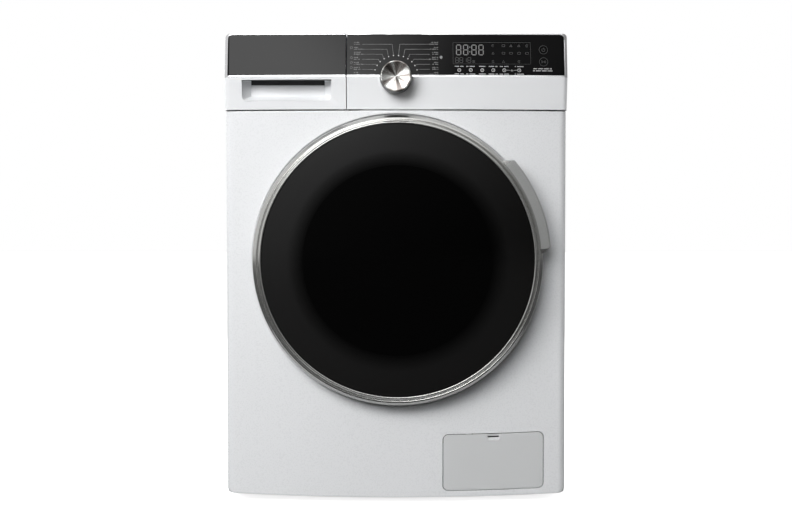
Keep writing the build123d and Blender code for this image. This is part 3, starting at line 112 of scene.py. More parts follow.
def roundRect(x, z, halfX, halfZ, radius):
    # signed distance to a rounded rectangle about the origin, positive inside
    qx, qz = np.abs(x) - halfX + radius, np.abs(z) - halfZ + radius
    outer = np.hypot(np.maximum(qx, 0), np.maximum(qz, 0))
    return radius - outer - np.minimum(np.maximum(qx, qz), 0)


def roundedPath(points, radius, steps=5, closed=True):
    # each corner B becomes B + (1 - s)^2 u t + s^2 v t, with u and v the directions to its neighbours
    p = np.array([q[:2] for q in points], float)
    radii = np.array([q[2] if len(q) > 2 else radius for q in points], float)
    back, ahead = np.roll(p, 1, 0) - p, np.roll(p, -1, 0) - p
    backLong, aheadLong = np.linalg.norm(back, axis=1), np.linalg.norm(ahead, axis=1)
    u, v = back / backLong[:, None], ahead / aheadLong[:, None]
    half = np.arccos(np.clip((u * v).sum(1), -0.9999, 0.9999)) / 2
    t = np.minimum(radii / np.tan(half), 0.48 * np.minimum(backLong, aheadLong))
    s = np.linspace(0, 1, steps)[None, :, None]
    curve = p[:, None] + (1 - s) ** 2 * (u * t[:, None])[:, None] + s**2 * (v * t[:, None])[:, None]
    if closed:
        return curve.reshape(-1, 2)
    return np.vstack([p[:1], curve[1:-1].reshape(-1, 2), p[-1:]])


def turned(profile, count, centre=None, angles=None):
    # revolve (radius, ahead) points about a front to back axis: x = cx + r cos a, z = cz + r sin a
    cx, cz = centre or (doorX, doorZ)
    a = np.linspace(0, 2 * np.pi, count, endpoint=False) if angles is None else angles
    r, d = np.asarray(profile)[:, 0][:, None], np.asarray(profile)[:, 1][:, None]
    return np.stack([cx + r * np.cos(a), front - d + 0 * a, cz + r * np.sin(a)], -1)


def upright(profile, count, x, y):
    # revolve (radius, height) points about an upright axis
    a = np.linspace(0, 2 * np.pi, count, endpoint=False)
    r, h = np.asarray(profile)[:, 0][:, None], np.asarray(profile)[:, 1][:, None]
    return np.stack([x + r * np.cos(a), y + r * np.sin(a), h + 0 * a], -1)


def smoothRoute(route, count):
    # Catmull-Rom curve through the route's points, sampled evenly in its parameter
    p = np.array(route, float)
    p = np.vstack([2 * p[0] - p[1], p, 2 * p[-1] - p[-2]])
    t = np.linspace(0, len(route) - 1 - 1e-6, count)
    i = t.astype(int)
    s = (t - i)[:, None]
    a, b, c, d = p[i], p[i + 1], p[i + 2], p[i + 3]
    return 0.5 * (2 * b + (c - a) * s + (2 * a - 5 * b + 4 * c - d) * s**2 + (3 * b - a - 3 * c + d) * s**3)


def tube(path, radius, sides=20):
    # circle carried along a path: point + radius (n cos a + m sin a), n and m square to the path
    path = np.asarray(path, float)
    along = np.gradient(path, axis=0)
    along /= np.linalg.norm(along, axis=1)[:, None]
    guide = np.array([0.31, 0.27, 0.91])
    n = np.cross(along, guide)
    n /= np.linalg.norm(n, axis=1)[:, None]
    m = np.cross(along, n)
    a = np.linspace(0, 2 * np.pi, sides, endpoint=False)[None, :, None]
    radius = np.broadcast_to(np.asarray(radius, float), (len(path),))[:, None, None]
    return path[:, None] + radius * (n[:, None] * np.cos(a) + m[:, None] * np.sin(a))


def makePiece(name, sheets, body, material, nodes=(), outward=None, sharp=32, blend=None):
    # sheets are (points, closeRows, closeCols); shared edges are welded and faces turned outwards
    points, faces, start = [], [], 0
    for sheet in sheets:
        grid, closeRows, closeCols = sheet
        rows, cols = grid.shape[:2]
        points.append(grid.reshape(-1, 3))
        faces.append(gridFaces(rows, cols, closeRows, closeCols, start))
        start += rows * cols
    points, faces = np.vstack(points) * mm, np.vstack(faces)
    return finishPiece(name, points, faces.tolist(), body, material, nodes, outward, sharp, blend)


def finishPiece(name, points, faces, body, material, nodes=(), outward=None, sharp=32, blend=None):
    mesh = bpy.data.meshes.new(name)
    mesh.from_pydata(points.tolist(), [], faces)
    work = bmesh.new()
    work.from_mesh(mesh)
    bmesh.ops.remove_doubles(work, verts=work.verts, dist=2e-6)
    loose = [v for v in work.verts if not v.link_faces]
    bmesh.ops.delete(work, geom=loose, context="VERTS")
    bmesh.ops.recalc_face_normals(work, faces=work.faces)
    if outward is not None:
        facing = sum((f.normal * f.calc_area() for f in work.faces), Vector()).dot(Vector(outward))
        if facing < 0:
            bmesh.ops.reverse_faces(work, faces=work.faces)
    work.to_mesh(mesh)
    work.free()
    mesh.shade_smooth()
    mesh.set_sharp_from_angle(angle=math.radians(sharp))
    mesh.materials.append(material)
    piece = bpy.data.objects.new(name, mesh)
    bpy.context.scene.collection.objects.link(piece)
    if blend:
        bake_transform(piece)
    else:
        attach(piece, body)
    if nodes:
        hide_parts(*nodes)
    return piece


def rayLength(angles, inside, reach=900.0):
    # distance from the middle to an outline along each ray, by halving the range that holds it
    low, high = np.zeros_like(angles), np.full_like(angles, reach)
    for _ in range(40):
        half = (low + high) / 2
        within = inside(half * np.cos(angles), half * np.sin(angles)) > 0
        low, high = np.where(within, half, low), np.where(within, high, half)
    return low


def snapToHole(x, z, hole):
    # moves the nearer end of each grid line that crosses a hole's outline onto that outline
    gap = hole(x, z)
    mark = np.zeros(gap.shape, bool)
    for axis in (0, 1):
        a = np.take(gap, range(gap.shape[axis] - 1), axis)
        b = np.take(gap, range(1, gap.shape[axis]), axis)
        crosses = a * b < 0
        first = np.abs(a) < np.abs(b)
        low = [slice(None)] * 2
        high = [slice(None)] * 2
        low[axis], high[axis] = slice(0, -1), slice(1, None)
        mark[tuple(low)] |= crosses & first
        mark[tuple(high)] |= crosses & ~first
    step = 1e-3
    for _ in range(4):
        gap = hole(x, z)
        gx = (hole(x + step, z) - hole(x - step, z)) / (2 * step)
        gz = (hole(x, z + step) - hole(x, z - step)) / (2 * step)
        scale = np.where(mark, gap / np.maximum(gx**2 + gz**2, 1e-6), 0)
        x, z = x - scale * gx, z - scale * gz
    return x, z, np.where(mark, 0, hole(x, z))


def openFaces(quads, gap):
    # drops the faces in a hole; a face with one corner in it keeps the triangle outside
    inside = gap.reshape(-1)[quads] > 1e-4
    onEdge = np.abs(gap.reshape(-1)[quads]) <= 1e-4
    count = inside.sum(1)
    keep = quads[(count == 0) & (onEdge.sum(1) < 4)].tolist()
    for quad, bad in zip(quads[count == 1], inside[count == 1]):
        rest = [int(v) for v, b in zip(quad, bad) if not b]
        if any(abs(gap.reshape(-1)[v]) > 1e-4 for v in rest):
            keep.append(rest)
    return keep


# materials: base colours are linear, patterns are on object coordinates in metres

def newMaterial(name, colour, rough, metal=0.0, **sockets):
    material = bpy.data.materials.new(name)
    material.use_nodes = True
    nodes, links = material.node_tree.nodes, material.node_tree.links
    shader = nodes["Principled BSDF"]
    shader.inputs["Base Color"].default_value = (*colour, 1)
    shader.inputs["Roughness"].default_value = rough
    shader.inputs["Metallic"].default_value = metal
    for socket, value in sockets.items():
        shader.inputs[socket.replace("_", " ")].default_value = value
    return material, nodes, links, shader


def noiseAt(nodes, links, scale, detail=2.0, stretch=(1, 1, 1)):
    where = nodes.new("ShaderNodeTexCoord")
    mapping = nodes.new("ShaderNodeMapping")
    mapping.inputs["Scale"].default_value = stretch
    noise = nodes.new("ShaderNodeTexNoise")
    noise.inputs["Scale"].default_value = scale
    noise.inputs["Detail"].default_value = detail
    links.new(where.outputs["Object"], mapping.inputs["Vector"])
    links.new(mapping.outputs["Vector"], noise.inputs["Vector"])
    return noise


def addBump(nodes, links, shader, height, strength, distance):
    bump = nodes.new("ShaderNodeBump")
    bump.inputs["Strength"].default_value = strength
    bump.inputs["Distance"].default_value = distance
    links.new(height, bump.inputs["Height"])
    links.new(bump.outputs["Normal"], shader.inputs["Normal"])
    return bump


def spread(nodes, links, value, low, high, socket):
    # maps a 0..1 value to a range and feeds it to a socket
    change = nodes.new("ShaderNodeMapRange")
    change.inputs["From Min"].default_value = 0.3
    change.inputs["From Max"].default_value = 0.7
    change.inputs["To Min"].default_value = low
    change.inputs["To Max"].default_value = high
    links.new(value, change.inputs["Value"])
    links.new(change.outputs["Result"], socket)


def tint(nodes, links, value, first, second, shader, low=0.35, high=0.65):
    ramp = nodes.new("ShaderNodeValToRGB")
    ramp.color_ramp.elements[0].position = low
    ramp.color_ramp.elements[1].position = high
    ramp.color_ramp.elements[0].color = (*first, 1)
    ramp.color_ramp.elements[1].color = (*second, 1)
    links.new(value, ramp.inputs["Fac"])
    links.new(ramp.outputs["Color"], shader.inputs["Base Color"])
    return ramp


def surface(name, colour, rough, metal=0.0, vary=0.04, grain=900.0, bump=0.02, depth=0.0002,
            roughVary=0.05, stretch=(1, 1, 1), **sockets):
    # one finish: a slow drift of colour and roughness, and a fine grain in the bump
    material, nodes, links, shader = newMaterial(name, colour, rough, metal, **sockets)
    drift = noiseAt(nodes, links, 6.0, 3.0)
    first = tuple(c * (1 - vary) for c in colour)
    second = tuple(min(c * (1 + vary), 1) for c in colour)
    tint(nodes, links, drift.outputs["Fac"], first, second, shader)
    grainNoise = noiseAt(nodes, links, grain, 2.0, stretch)
    spread(nodes, links, grainNoise.outputs["Fac"], max(rough - roughVary, 0.02), rough + roughVary,
           shader.inputs["Roughness"])
    addBump(nodes, links, shader, grainNoise.outputs["Fac"], bump, depth)
    return material


enamel = surface("whiteEnamel", (0.80, 0.81, 0.825), 0.28, vary=0.006, grain=420, bump=0.01,
                 roughVary=0.02, Coat_Weight=0.35, Coat_Roughness=0.12)
whiteMoulding = surface("whiteMoulding", (0.86, 0.87, 0.885), 0.34, vary=0.006, grain=1400, bump=0.03,
                        roughVary=0.03)
flapMoulding = surface("flapMoulding", (0.64, 0.65, 0.655), 0.38, vary=0.008, grain=1200, bump=0.02,
                       roughVary=0.03)
silverPaint = surface("silverPaint", (0.62, 0.62, 0.63), 0.3, metal=0.85, vary=0.02, grain=2600, bump=0.03)
darkMoulding = surface("darkMoulding", (0.018, 0.018, 0.019), 0.42, vary=0.1, grain=1500, bump=0.08)
greyMoulding = surface("greyMoulding", (0.30, 0.30, 0.31), 0.45, vary=0.04, grain=1300, bump=0.08)
paleMoulding = surface("paleMoulding", (0.66, 0.67, 0.69), 0.4, vary=0.03, grain=900, bump=0.06)
blueMoulding = surface("blueMoulding", (0.05, 0.16, 0.42), 0.4, vary=0.05, grain=900, bump=0.06)
zincSteel = surface("zincSteel", (0.58, 0.60, 0.62), 0.42, metal=0.9, vary=0.05, grain=110, bump=0.02,
                    roughVary=0.05)
drumSteel = surface("drumSteel", (0.66, 0.66, 0.66), 0.24, metal=1.0, vary=0.03, grain=500, bump=0.02,
                    stretch=(0.1, 1, 0.1))
castAlloy = surface("castAlloy", (0.5, 0.5, 0.51), 0.5, metal=0.9, vary=0.06, grain=350, bump=0.3)
castIron = surface("castIron", (0.07, 0.07, 0.072), 0.7, metal=0.2, vary=0.15, grain=260, bump=0.5,
                   depth=0.0006)
blackRubber = surface("blackRubber", (0.02, 0.02, 0.02), 0.6, vary=0.12, grain=700, bump=0.12)
greyRubber = surface("greyRubber", (0.20, 0.20, 0.205), 0.55, vary=0.06, grain=600, bump=0.12)
tubMoulding = surface("tubMoulding", (0.56, 0.56, 0.53), 0.5, vary=0.05, grain=400, bump=0.15)
boardLacquer = surface("boardLacquer", (0.01, 0.09, 0.03), 0.3, vary=0.2, grain=300, bump=0.05)
print("materials ready")


# shared finishing: a merged copy of a node's own mesh with its edges rounded over

def softened(node, material, width=0.6, sharp=34):
    # vertices within 2 micrometres become one, flat areas become single faces, then a narrow bevel
    source = frame["nodes"][node]
    work = bmesh.new()
    work.from_mesh(source.data)
    bmesh.ops.remove_doubles(work, verts=work.verts, dist=2e-6)
    bmesh.ops.dissolve_limit(work, angle_limit=math.radians(0.6), verts=work.verts, edges=work.edges)
    mesh = bpy.data.meshes.new(node + "Finished")
    work.to_mesh(mesh)
    work.free()
    mesh.shade_smooth()
    mesh.set_sharp_from_angle(angle=math.radians(sharp))
    mesh.materials.clear()
    mesh.materials.append(material)
    piece = bpy.data.objects.new(node + "Finished", mesh)
    bpy.context.scene.collection.objects.link(piece)
    if width:
        bevel = piece.modifiers.new("edge", "BEVEL")
        bevel.width = width * mm
        bevel.segments = 2
        bevel.limit_method = "ANGLE"
        bevel.angle_limit = math.radians(sharp)
        bevel.use_clamp_overlap = True
        bevel.harden_normals = False
    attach(piece, source["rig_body"])
    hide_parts(node)
    return piece


def dress(nodes, material):
    # a carried-over node keeps its mesh and gets a finish
    for node in nodes:
        target = frame["nodes"][node]
        target.data.materials.clear()
        target.data.materials.append(material)


dress(["side_panel_left", "side_panel_right"], enamel)
dress(["rear_panel", "base_tray", "top_rails", "door_hinge_leaf", "door_hinge_bracket",
       "damper_rods", "rear_screws", "drum_bearings", "motor_pulley", "heater_element"], zincSteel)
dress(["drum_spider", "drum_pulley", "motor_housing"], castAlloy)
dress(["front_counterweights"], castIron)
dress(["tub_front_shell", "tub_rear_shell", "drain_pump"], tubMoulding)
dress(["dispenser_housing", "drum_lifters", "drawer_tray"], paleMoulding)
dress(["siphon_cap", "inlet_valve"], blueMoulding)
dress(["cord_gland", "drain_outlet", "latch_hook", "door_lock", "damper_cylinders", "filter_cap",
       "foot_front_left", "foot_front_right", "foot_rear_left", "foot_rear_right"], darkMoulding)
dress(["control_board"], boardLacquer)
dress(["drum_front_ring", "drum_rear_wall"], drumSteel)
dress(["drive_belt"], blackRubber)
dress(["inlet_hose", "drain_hose"], greyRubber)
dress(["door_inner_frame"], greyMoulding)
softened("control_panel", whiteMoulding, 0.7)
softened("drawer_front", whiteMoulding, 0.7)
softened("worktop", whiteMoulding, 0)
softened("rear_access_cover", zincSteel, 0.5)
print("carried-over pieces finished")


# front panel: bowed pressing with a round seat for the door and an opening for the filter flap

panel = {"half": 298.5, "bow": 12.0, "corner": 12.0, "returnTo": -20.0, "low": 10.0, "arc": 6.0,
         "top": 687.25, "edge": 1.4, "lip": 10.0, "lowCorner": 8.0,
         "seat": 255.0, "seatEdge": 3.0, "seatAt": 2.0, "mouth": 172.0, "collarTo": -20.0}
flap = {"x0": 83.0, "x1": 259.0, "low": 11.5, "tall": 98.0, "corner": 9.0, "gap": 1.8, "edge": 1.2}


def bowed(x, half, sag, corner):
    # ahead = arc rise over the width, less the roll of the plan corner: rise(x) - roll(half - |x|)
    return arcRise(np.clip(x, -half, half), half, sag) - roll(half - np.abs(x), corner)


def lowEdge(x):
    # height of the lower edge: low + arc (x / half)^2
    return panel["low"] + panel["arc"] * (x / panel["half"]) ** 2


def panelAhead(x):
    return bowed(x, panel["half"], panel["bow"], panel["corner"])


def flapGap(x, z, grow=0.0):
    # signed distance inside the flap's outline, sheared to follow the panel's lower edge
    middle = (flap["x0"] + flap["x1"]) / 2
    base = lowEdge(x) + flap["low"]
    halfX, halfZ = (flap["x1"] - flap["x0"]) / 2 + grow, flap["tall"] / 2 + grow
    return roundRect(x - middle, z - base - flap["tall"] / 2, halfX, halfZ, flap["corner"] + grow)


def seatGap(x, z):
    return panel["seat"] + panel["seatEdge"] - np.hypot(x - doorX, z - doorZ)


def makeFrontPanel():
    half, corner = panel["half"], panel["corner"]
    turn = np.linspace(0, np.pi / 2, 7)
    edgeX = half - corner * (1 - np.cos(turn))  # the plan corner, evenly in angle
    inner = samples((-half + corner, -60, 44), (-60, 76, 20), (76, 90, 14), (90, 252, 34), (252, 266, 14),
                    (266, half - corner, 8))[1:-1]
    x = np.concatenate([-edgeX, inner, edgeX[::-1]])
    low, height = lowEdge(x)[None, :], panel["top"]
    rise = samples((panel["edge"], 10, 5), (10, 24, 14), (24, 96, 18), (96, 124, 16), (124, 670, 110))
    v = (rise - panel["edge"]) / (670 - panel["edge"])
    z = low + panel["edge"] + v[:, None] * (height - 2 * panel["edge"] - low)
    gridX = np.broadcast_to(x, z.shape).copy()
    dz = z - low
    lowCorner = panel["lowCorner"]
    pinch = lowCorner - np.sqrt(np.maximum(lowCorner**2 - np.maximum(lowCorner - dz, 0)**2, 0))
    weight = np.clip((np.abs(gridX) - half + 2 * corner) / (2 * corner), 0, 1)
    gridX -= np.sign(gridX) * pinch * weight
    seatX, seatZ, seatMark = snapToHole(gridX, z, seatGap)
    fx, fz, flapMark = snapToHole(seatX, seatZ, lambda a, b: flapGap(a, b, flap["gap"]))
    inSeat = np.abs(seatMark) < 1e-9
    fx, fz = np.where(inSeat, seatX, fx), np.where(inSeat, seatZ, fz)
    gap = np.where(np.abs(flapMark) < 1e-9, 0, np.maximum(seatMark, flapMark))
    gap = np.where(inSeat, 0, gap)
    ahead = arcRise(fx, half, panel["bow"]) - roll(half - np.abs(np.broadcast_to(x, z.shape)), corner)
    skin = np.stack([fx, front - ahead, fz], -1)
    quads = gridFaces(*z.shape)
    faces = openFaces(quads, gap)
    points = skin.reshape(-1, 3)
    sheets = []
    # top and bottom edges roll back, then a lip turns in
    angle = np.linspace(0, np.pi / 2, 5)
    for row, way in ((0, -1), (-1, 1)):
        border = skin[row]
        along = np.gradient(border[:, :2], axis=0)
        normal = np.stack([along[:, 1], -along[:, 0]], -1)
        normal /= np.linalg.norm(normal, axis=1)[:, None]
        back = panel["edge"] * (1 - np.cos(angle))
        out = panel["edge"] * np.sin(angle)
        back = np.append(back, panel["lip"])
        out = np.append(out, panel["edge"])
        rows = [np.stack([border[:, 0] - normal[:, 0] * b, border[:, 1] - normal[:, 1] * b,
                          border[:, 2] + way * o], -1) for b, o in zip(back, out)]
        sheets.append((np.stack(rows), False, False))
    # the sides run straight back
    for col in (0, -1):
        border = skin[:, col]
        backs = np.linspace(0, 1, 4)
        rows = [np.stack([border[:, 0], border[:, 1] + (front - panel["returnTo"] - border[:, 1]) * b,
                          border[:, 2]], -1) for b in backs]
        sheets.append((np.stack(rows), False, False))
    start = len(points)
    allPoints, allFaces = [points], list(faces)
    for grid, closeRows, closeCols in sheets:
        allPoints.append(grid.reshape(-1, 3))
        allFaces += gridFaces(*grid.shape[:2], closeRows, closeCols, start).tolist()
        start += grid.shape[0] * grid.shape[1]
    return finishPiece("frontPanelSkin", np.vstack(allPoints) * mm, allFaces, "cabinet", enamel,
                       ["front_panel"], outward=(0, -1, 0), sharp=40)


def makeDoorSeat():
    # rows of (radius, ahead) about the door axis: a margin just under the skin, a rolled edge, a wall,
    # the floor and the collar
    a = np.linspace(0, 2 * np.pi, 480, endpoint=False)
    turn = np.linspace(0, np.pi / 2, 6)
    face = panelAhead(doorX + panel["seat"] * np.cos(a))
    deep = face - panel["seatAt"]  # shallow at the sides of the bowed panel, deep above and below
    roundBack = np.minimum(panel["seatEdge"], 0.6 * deep)
    rows = []
    for r, under in ((269.0, 0.12), (263.0, 0.06), (258.6, 0.02)):
        rows.append((r, panelAhead(doorX + r * np.cos(a)) - under))
    for t in turn:
        rows.append((panel["seat"] + panel["seatEdge"] * (1 - math.sin(t)),
                     face - roundBack * (1 - math.cos(t))))
    foot = np.minimum(1.5, 0.3 * deep)
    rows += [(panel["seat"], panel["seatAt"] + foot), (panel["seat"] - 0.5, panel["seatAt"] + 0.3 * foot)]
    mouth, level = panel["mouth"], panel["seatAt"]
    for r, at in ((panel["seat"] - 1.6, level), (245.0, level), (215.0, level), (186.0, level),
                  (mouth + 2.5, level), (mouth + 0.8, level - 0.8), (mouth, level - 2.5),
                  (mouth, panel["collarTo"])):
        rows.append((r, np.full(len(a), at)))
    grid = np.stack([np.stack([doorX + r * np.cos(a), front - at, doorZ + r * np.sin(a)], -1)
                     for r, at in rows])
    return makePiece("doorSeatPressing", [(grid, False, True)], "cabinet", enamel,
                     outward=(0, -1, 0), sharp=40)


def makeFlapSurround():
    # the same for the flap's opening: each row is the flap's outline grown by some millimetres
    a = np.linspace(0, 2 * np.pi, 300, endpoint=False)
    middle = (flap["x0"] + flap["x1"]) / 2
    halfX, halfZ = (flap["x1"] - flap["x0"]) / 2, flap["tall"] / 2
    turn = np.linspace(0, np.pi / 2, 5)
    rows = [(flap["gap"] + 4.0, 0.06), (flap["gap"] + 0.6, 0.02)]
    rows += [(flap["gap"] - 0.72 * math.sin(t), flap["edge"] * (1 - math.cos(t))) for t in turn]
    rows.append((flap["gap"] - 0.72, 3.5))
    layers = []
    for grow, back in rows:
        reach = rayLength(a, lambda x, z: roundRect(x, z, halfX + grow, halfZ + grow, flap["corner"] + grow))
        x = middle + reach * np.cos(a)
        z = lowEdge(x) + flap["low"] + halfZ + reach * np.sin(a)
        layers.append(np.stack([x, front - panelAhead(x) + back, z], -1))
    grid = np.stack(layers)
    return makePiece("flapSurround", [(grid, False, True)], "cabinet", enamel, outward=(0, -1, 0), sharp=50)


makeFrontPanel()
makeDoorSeat()
makeFlapSurround()


def makeFlap():
    # the flap's own skin: flapGap sets the outline, and its edge rolls back over a millimetre
    middle = (flap["x0"] + flap["x1"]) / 2
    count, rings = 220, 26
    a = np.linspace(0, 2 * np.pi, count, endpoint=False)
    halfZ = flap["tall"] / 2
    reach = rayLength(a, lambda x, z: roundRect(x, z, (flap["x1"] - flap["x0"]) / 2, halfZ, flap["corner"]))
    t = np.concatenate([np.linspace(0, 0.9, rings - 8),
                        [0.94, 0.965, 0.98, 0.99, 0.995, 0.998, 1.0, 1.0, 1.0]])
    back = np.concatenate([np.zeros(rings - 8), [0, 0, 0, 0.05, 0.2, 0.5, 1.0, 2.2, 2.2]])
    t[-1] = 0.9
    x = middle + t[:, None] * reach * np.cos(a)
    z = lowEdge(x) + flap["low"] + halfZ + t[:, None] * reach * np.sin(a)
    # thumb notch: a scoop whose floor lies back below the top edge, 20 wide and 10 tall
    top = lowEdge(x) + flap["low"] + flap["tall"]
    across = np.clip((10.5 - np.abs(x - middle)) / 0.8, 0, 1)
    down = np.clip((10.0 - (top - z)) / 0.9, 0, 1)
    slope = np.clip((top - z) / 10.0, 0, 1)
    scoop = across * down * (3.4 - 1.9 * (1 - slope))
    y = front - panelAhead(x) + 0.25 + np.maximum(back[:, None], scoop)
    return makePiece("filterFlapSkin", [(np.stack([x, y, z], -1), False, True)], "access_flap", flapMoulding,
                     ["filter_flap"], outward=(0, -1, 0), sharp=50)


makeFlap()
print("front panel and flap made")


# door: ring with its handle lug, smoked glass, and what is behind it

doorRing = {"outer": 252.0, "lugOuter": 266.0, "lugTop": 173.5, "lugFrom": 2.6, "lugFull": 5.0,
            "notchHalf": 22.0, "notchTo": 28.0}
ringProfile = [  # radius, ahead, share of the lug's reach, corner radius
    (249.2, 6.2, 0, 0.8), (251.6, 9.5, 0, 2.0), (251.9, 24.0, 0, 4.0), (251.2, 30.8, 0, 0.1),
    (251.2, 31.6, 1, 0.6),
    (250.6, 38.0, 1, 1.5), (249.2, 43.6, 1, 1.6), (248.0, 45.2, 0.93, 1.0), (246.8, 46.6, 0, 1.0),
    (244.8, 49.6, 0, 1.6), (242.2, 51.2, 0, 1.2), (240.9, 49.4, 0, 0.7), (239.8, 49.4, 0, 0.7),
    (238.8, 53.2, 0, 1.0), (236.4, 56.2, 0, 1.0), (234.6, 56.0, 0, 0.6), (233.7, 54.8, 0, 0.4),
    (233.7, 50.0, 0, 0.4),
    (224.0, 50.0, 0, 0.4), (224.0, 47.0, 0, 0.4), (238.0, 46.0, 0, 1.0), (246.0, 37.0, 0, 2.0),
    (248.2, 24.0, 0, 2.0)]


def lugReach(a):
    # how far the lug stands out at an angle: a level top end, an arc, and a slanting lower end
    d = np.degrees(a)
    level = doorRing["lugTop"] / np.maximum(np.sin(a), 0.2)
    arc = np.full_like(d, doorRing["lugOuter"])
    slant = doorRing["outer"] + (d - doorRing["lugFrom"]) / (doorRing["lugFull"] - doorRing["lugFrom"]) * (
        doorRing["lugOuter"] - doorRing["outer"])
    reach = np.minimum(np.minimum(level, arc), slant)
    inside = (d > doorRing["lugFrom"]) & (d < 60)
    return np.where(inside, np.maximum(reach - doorRing["outer"], 0), 0)


def facePlaces(piece):
    # each face's distance from the door axis, and its place, in mm
    centres = np.zeros(len(piece.data.polygons) * 3)
    piece.data.polygons.foreach_get("center", centres)
    centres = centres.reshape(-1, 3) / mm
    return np.hypot(centres[:, 0] - doorX, centres[:, 2] - doorZ), centres


def makeDoorRing():
    rounded = roundedPath([(p[0], p[1], p[3]) for p in ringProfile], 1.0, 4)
    share = np.repeat([p[2] for p in ringProfile], 4)
    a = np.radians(samples((2.0, 5.4, 14), (5.4, 40.2, 44), (40.2, 44.0, 16), (44.0, 174.9, 130),
                           (174.9, 175.0, 1), (175.0, 185.0, 10), (185.0, 185.1, 1),
                           (185.1, 362.0, 170)))[:-1]
    r = rounded[:, 0][:, None] + share[:, None] * lugReach(a)[None, :]
    d = np.broadcast_to(rounded[:, 1][:, None], r.shape).copy()
    notch = np.abs(r * np.sin(a)) < doorRing["notchHalf"]
    notch &= np.cos(a)[None, :] < 0
    d = np.where(notch, np.maximum(d, doorRing["notchTo"] + 0 * d), d)
    grid = np.stack([doorX + r * np.cos(a), front - d, doorZ + r * np.sin(a)], -1)
    piece = makePiece("doorRingMoulding", [(grid, True, True)], "door", ringFinish, ["door_ring"], sharp=38)
    piece.data.materials.append(lugFinish)
    radius, _ = facePlaces(piece)
    piece.data.polygons.foreach_set("material_index", (radius > doorRing["outer"] + 0.6).astype(int))
    return piece


def radialMaterial(name, stops, roughStops, **sockets):
    # colour and roughness by distance from the door axis, in metres on object coordinates
    material, nodes, links, shader = newMaterial(name, (0.01, 0.01, 0.01), 0.1, 0.0, **sockets)
    where = nodes.new("ShaderNodeTexCoord")
    mapping = nodes.new("ShaderNodeMapping")
    mapping.inputs["Location"].default_value = (-doorX * mm, 0, -doorZ * mm)
    mapping.inputs["Scale"].default_value = (1, 0, 1)
    length = nodes.new("ShaderNodeVectorMath")
    length.operation = "LENGTH"
    change = nodes.new("ShaderNodeMapRange")
    change.inputs["From Max"].default_value = 0.25
    links.new(where.outputs["Object"], mapping.inputs["Vector"])
    links.new(mapping.outputs["Vector"], length.inputs[0])
    links.new(length.outputs["Value"], change.inputs["Value"])
    for points, socket in ((stops, "Base Color"), (roughStops, "Roughness")):
        ramp = nodes.new("ShaderNodeValToRGB")
        while len(ramp.color_ramp.elements) < len(points):
            ramp.color_ramp.elements.new(0.5)
        for element, (r, value) in zip(ramp.color_ramp.elements, points):
            element.position = r / 250.0
            element.color = (*value, 1) if isinstance(value, tuple) else (value, value, value, 1)
        links.new(change.outputs["Result"], ramp.inputs["Fac"])
        links.new(ramp.outputs["Color"], shader.inputs[socket])
    return material


ringFinish = surface("ringFinish", (0.50, 0.50, 0.485), 0.2, metal=1.0, vary=0.03, grain=1800, bump=0.015,
                     roughVary=0.03)
lugFinish = surface("lugFinish", (0.36, 0.365, 0.36), 0.3, metal=0.45, vary=0.03, grain=1800, bump=0.015,
                    roughVary=0.03)
glass = {"window": 163.0, "halo": 188.0, "steps": 6, "shineOut": 0.38, "shineIn": 0.03}


def makeGlassFinishes():
    # smoked glass from the window outwards: each step of the halo shines a little more than the last
    finishes = []
    for step in range(glass["steps"] + 2):
        share = step / (glass["steps"] + 1)
        shine = glass["shineIn"] + share * (glass["shineOut"] - glass["shineIn"])
        tone = 0.0008 + 0.0004 * share
        plain, warm = (tone, tone, tone), (1.05 * tone, tone, 0.9 * tone)
        rough = [(0, 0.06), (glass["window"], 0.08), (glass["halo"], 0.16), (233, 0.16)]
        finishes.append(radialMaterial("smokedGlass" + str(step),
                                       [(0, plain), (glass["window"], plain), (250, warm)], rough,
                                       Specular_IOR_Level=shine))
    return finishes


def makeGlass():
    # spherical dome over a flat back: ahead = dome - (R - sqrt(R^2 - r^2))
    edge, sag, top = 233.2, 5.0, 60.0
    radius = (edge**2 + sag**2) / (2 * sag)
    halo = np.linspace(glass["window"], glass["halo"], glass["steps"] + 1)
    r = np.concatenate([[0.01], np.linspace(12, 156, 12), halo, np.linspace(194, 230, 7), [232.0, 232.8]])
    dome = [(q, top - (radius - math.sqrt(radius**2 - q * q))) for q in r]
    rim = [(233.1, 54.7), (233.2, 54.0), (233.2, 50.4), (232.9, 50.2), (150.0, 50.2), (0.01, 50.2)]
    finishes = makeGlassFinishes()
    piece = makePiece("doorGlassPane", [(turned(dome + rim, 240), False, True)], "door", finishes[0],
                      ["door_glass"], sharp=40)
    for finish in finishes[1:]:
        piece.data.materials.append(finish)
    radius, _ = facePlaces(piece)
    step = np.floor((radius - glass["window"]) / (glass["halo"] - glass["window"]) * glass["steps"]) + 1
    piece.data.polygons.foreach_set("material_index", np.clip(step, 0, glass["steps"] + 1).astype(int))
    return piece


makeDoorRing()
makeGlass()
bowlGlass, bowlNodes, bowlLinks, bowlShader = newMaterial("bowlGlass", (0.80, 0.86, 0.85), 0.04, 0.0,
                                                          Transmission_Weight=0.9, IOR=1.45)
bowlNoise = noiseAt(bowlNodes, bowlLinks, 18.0, 2.0)
addBump(bowlNodes, bowlLinks, bowlShader, bowlNoise.outputs["Fac"], 0.1, 0.001)
dress(["door_glass_bowl"], bowlGlass)
print("door made")


# selector knob: fluted black skirt and a spun face

knob = {"radius": 28.0, "back": 25.0, "face": 50.0, "dish": 2.2}


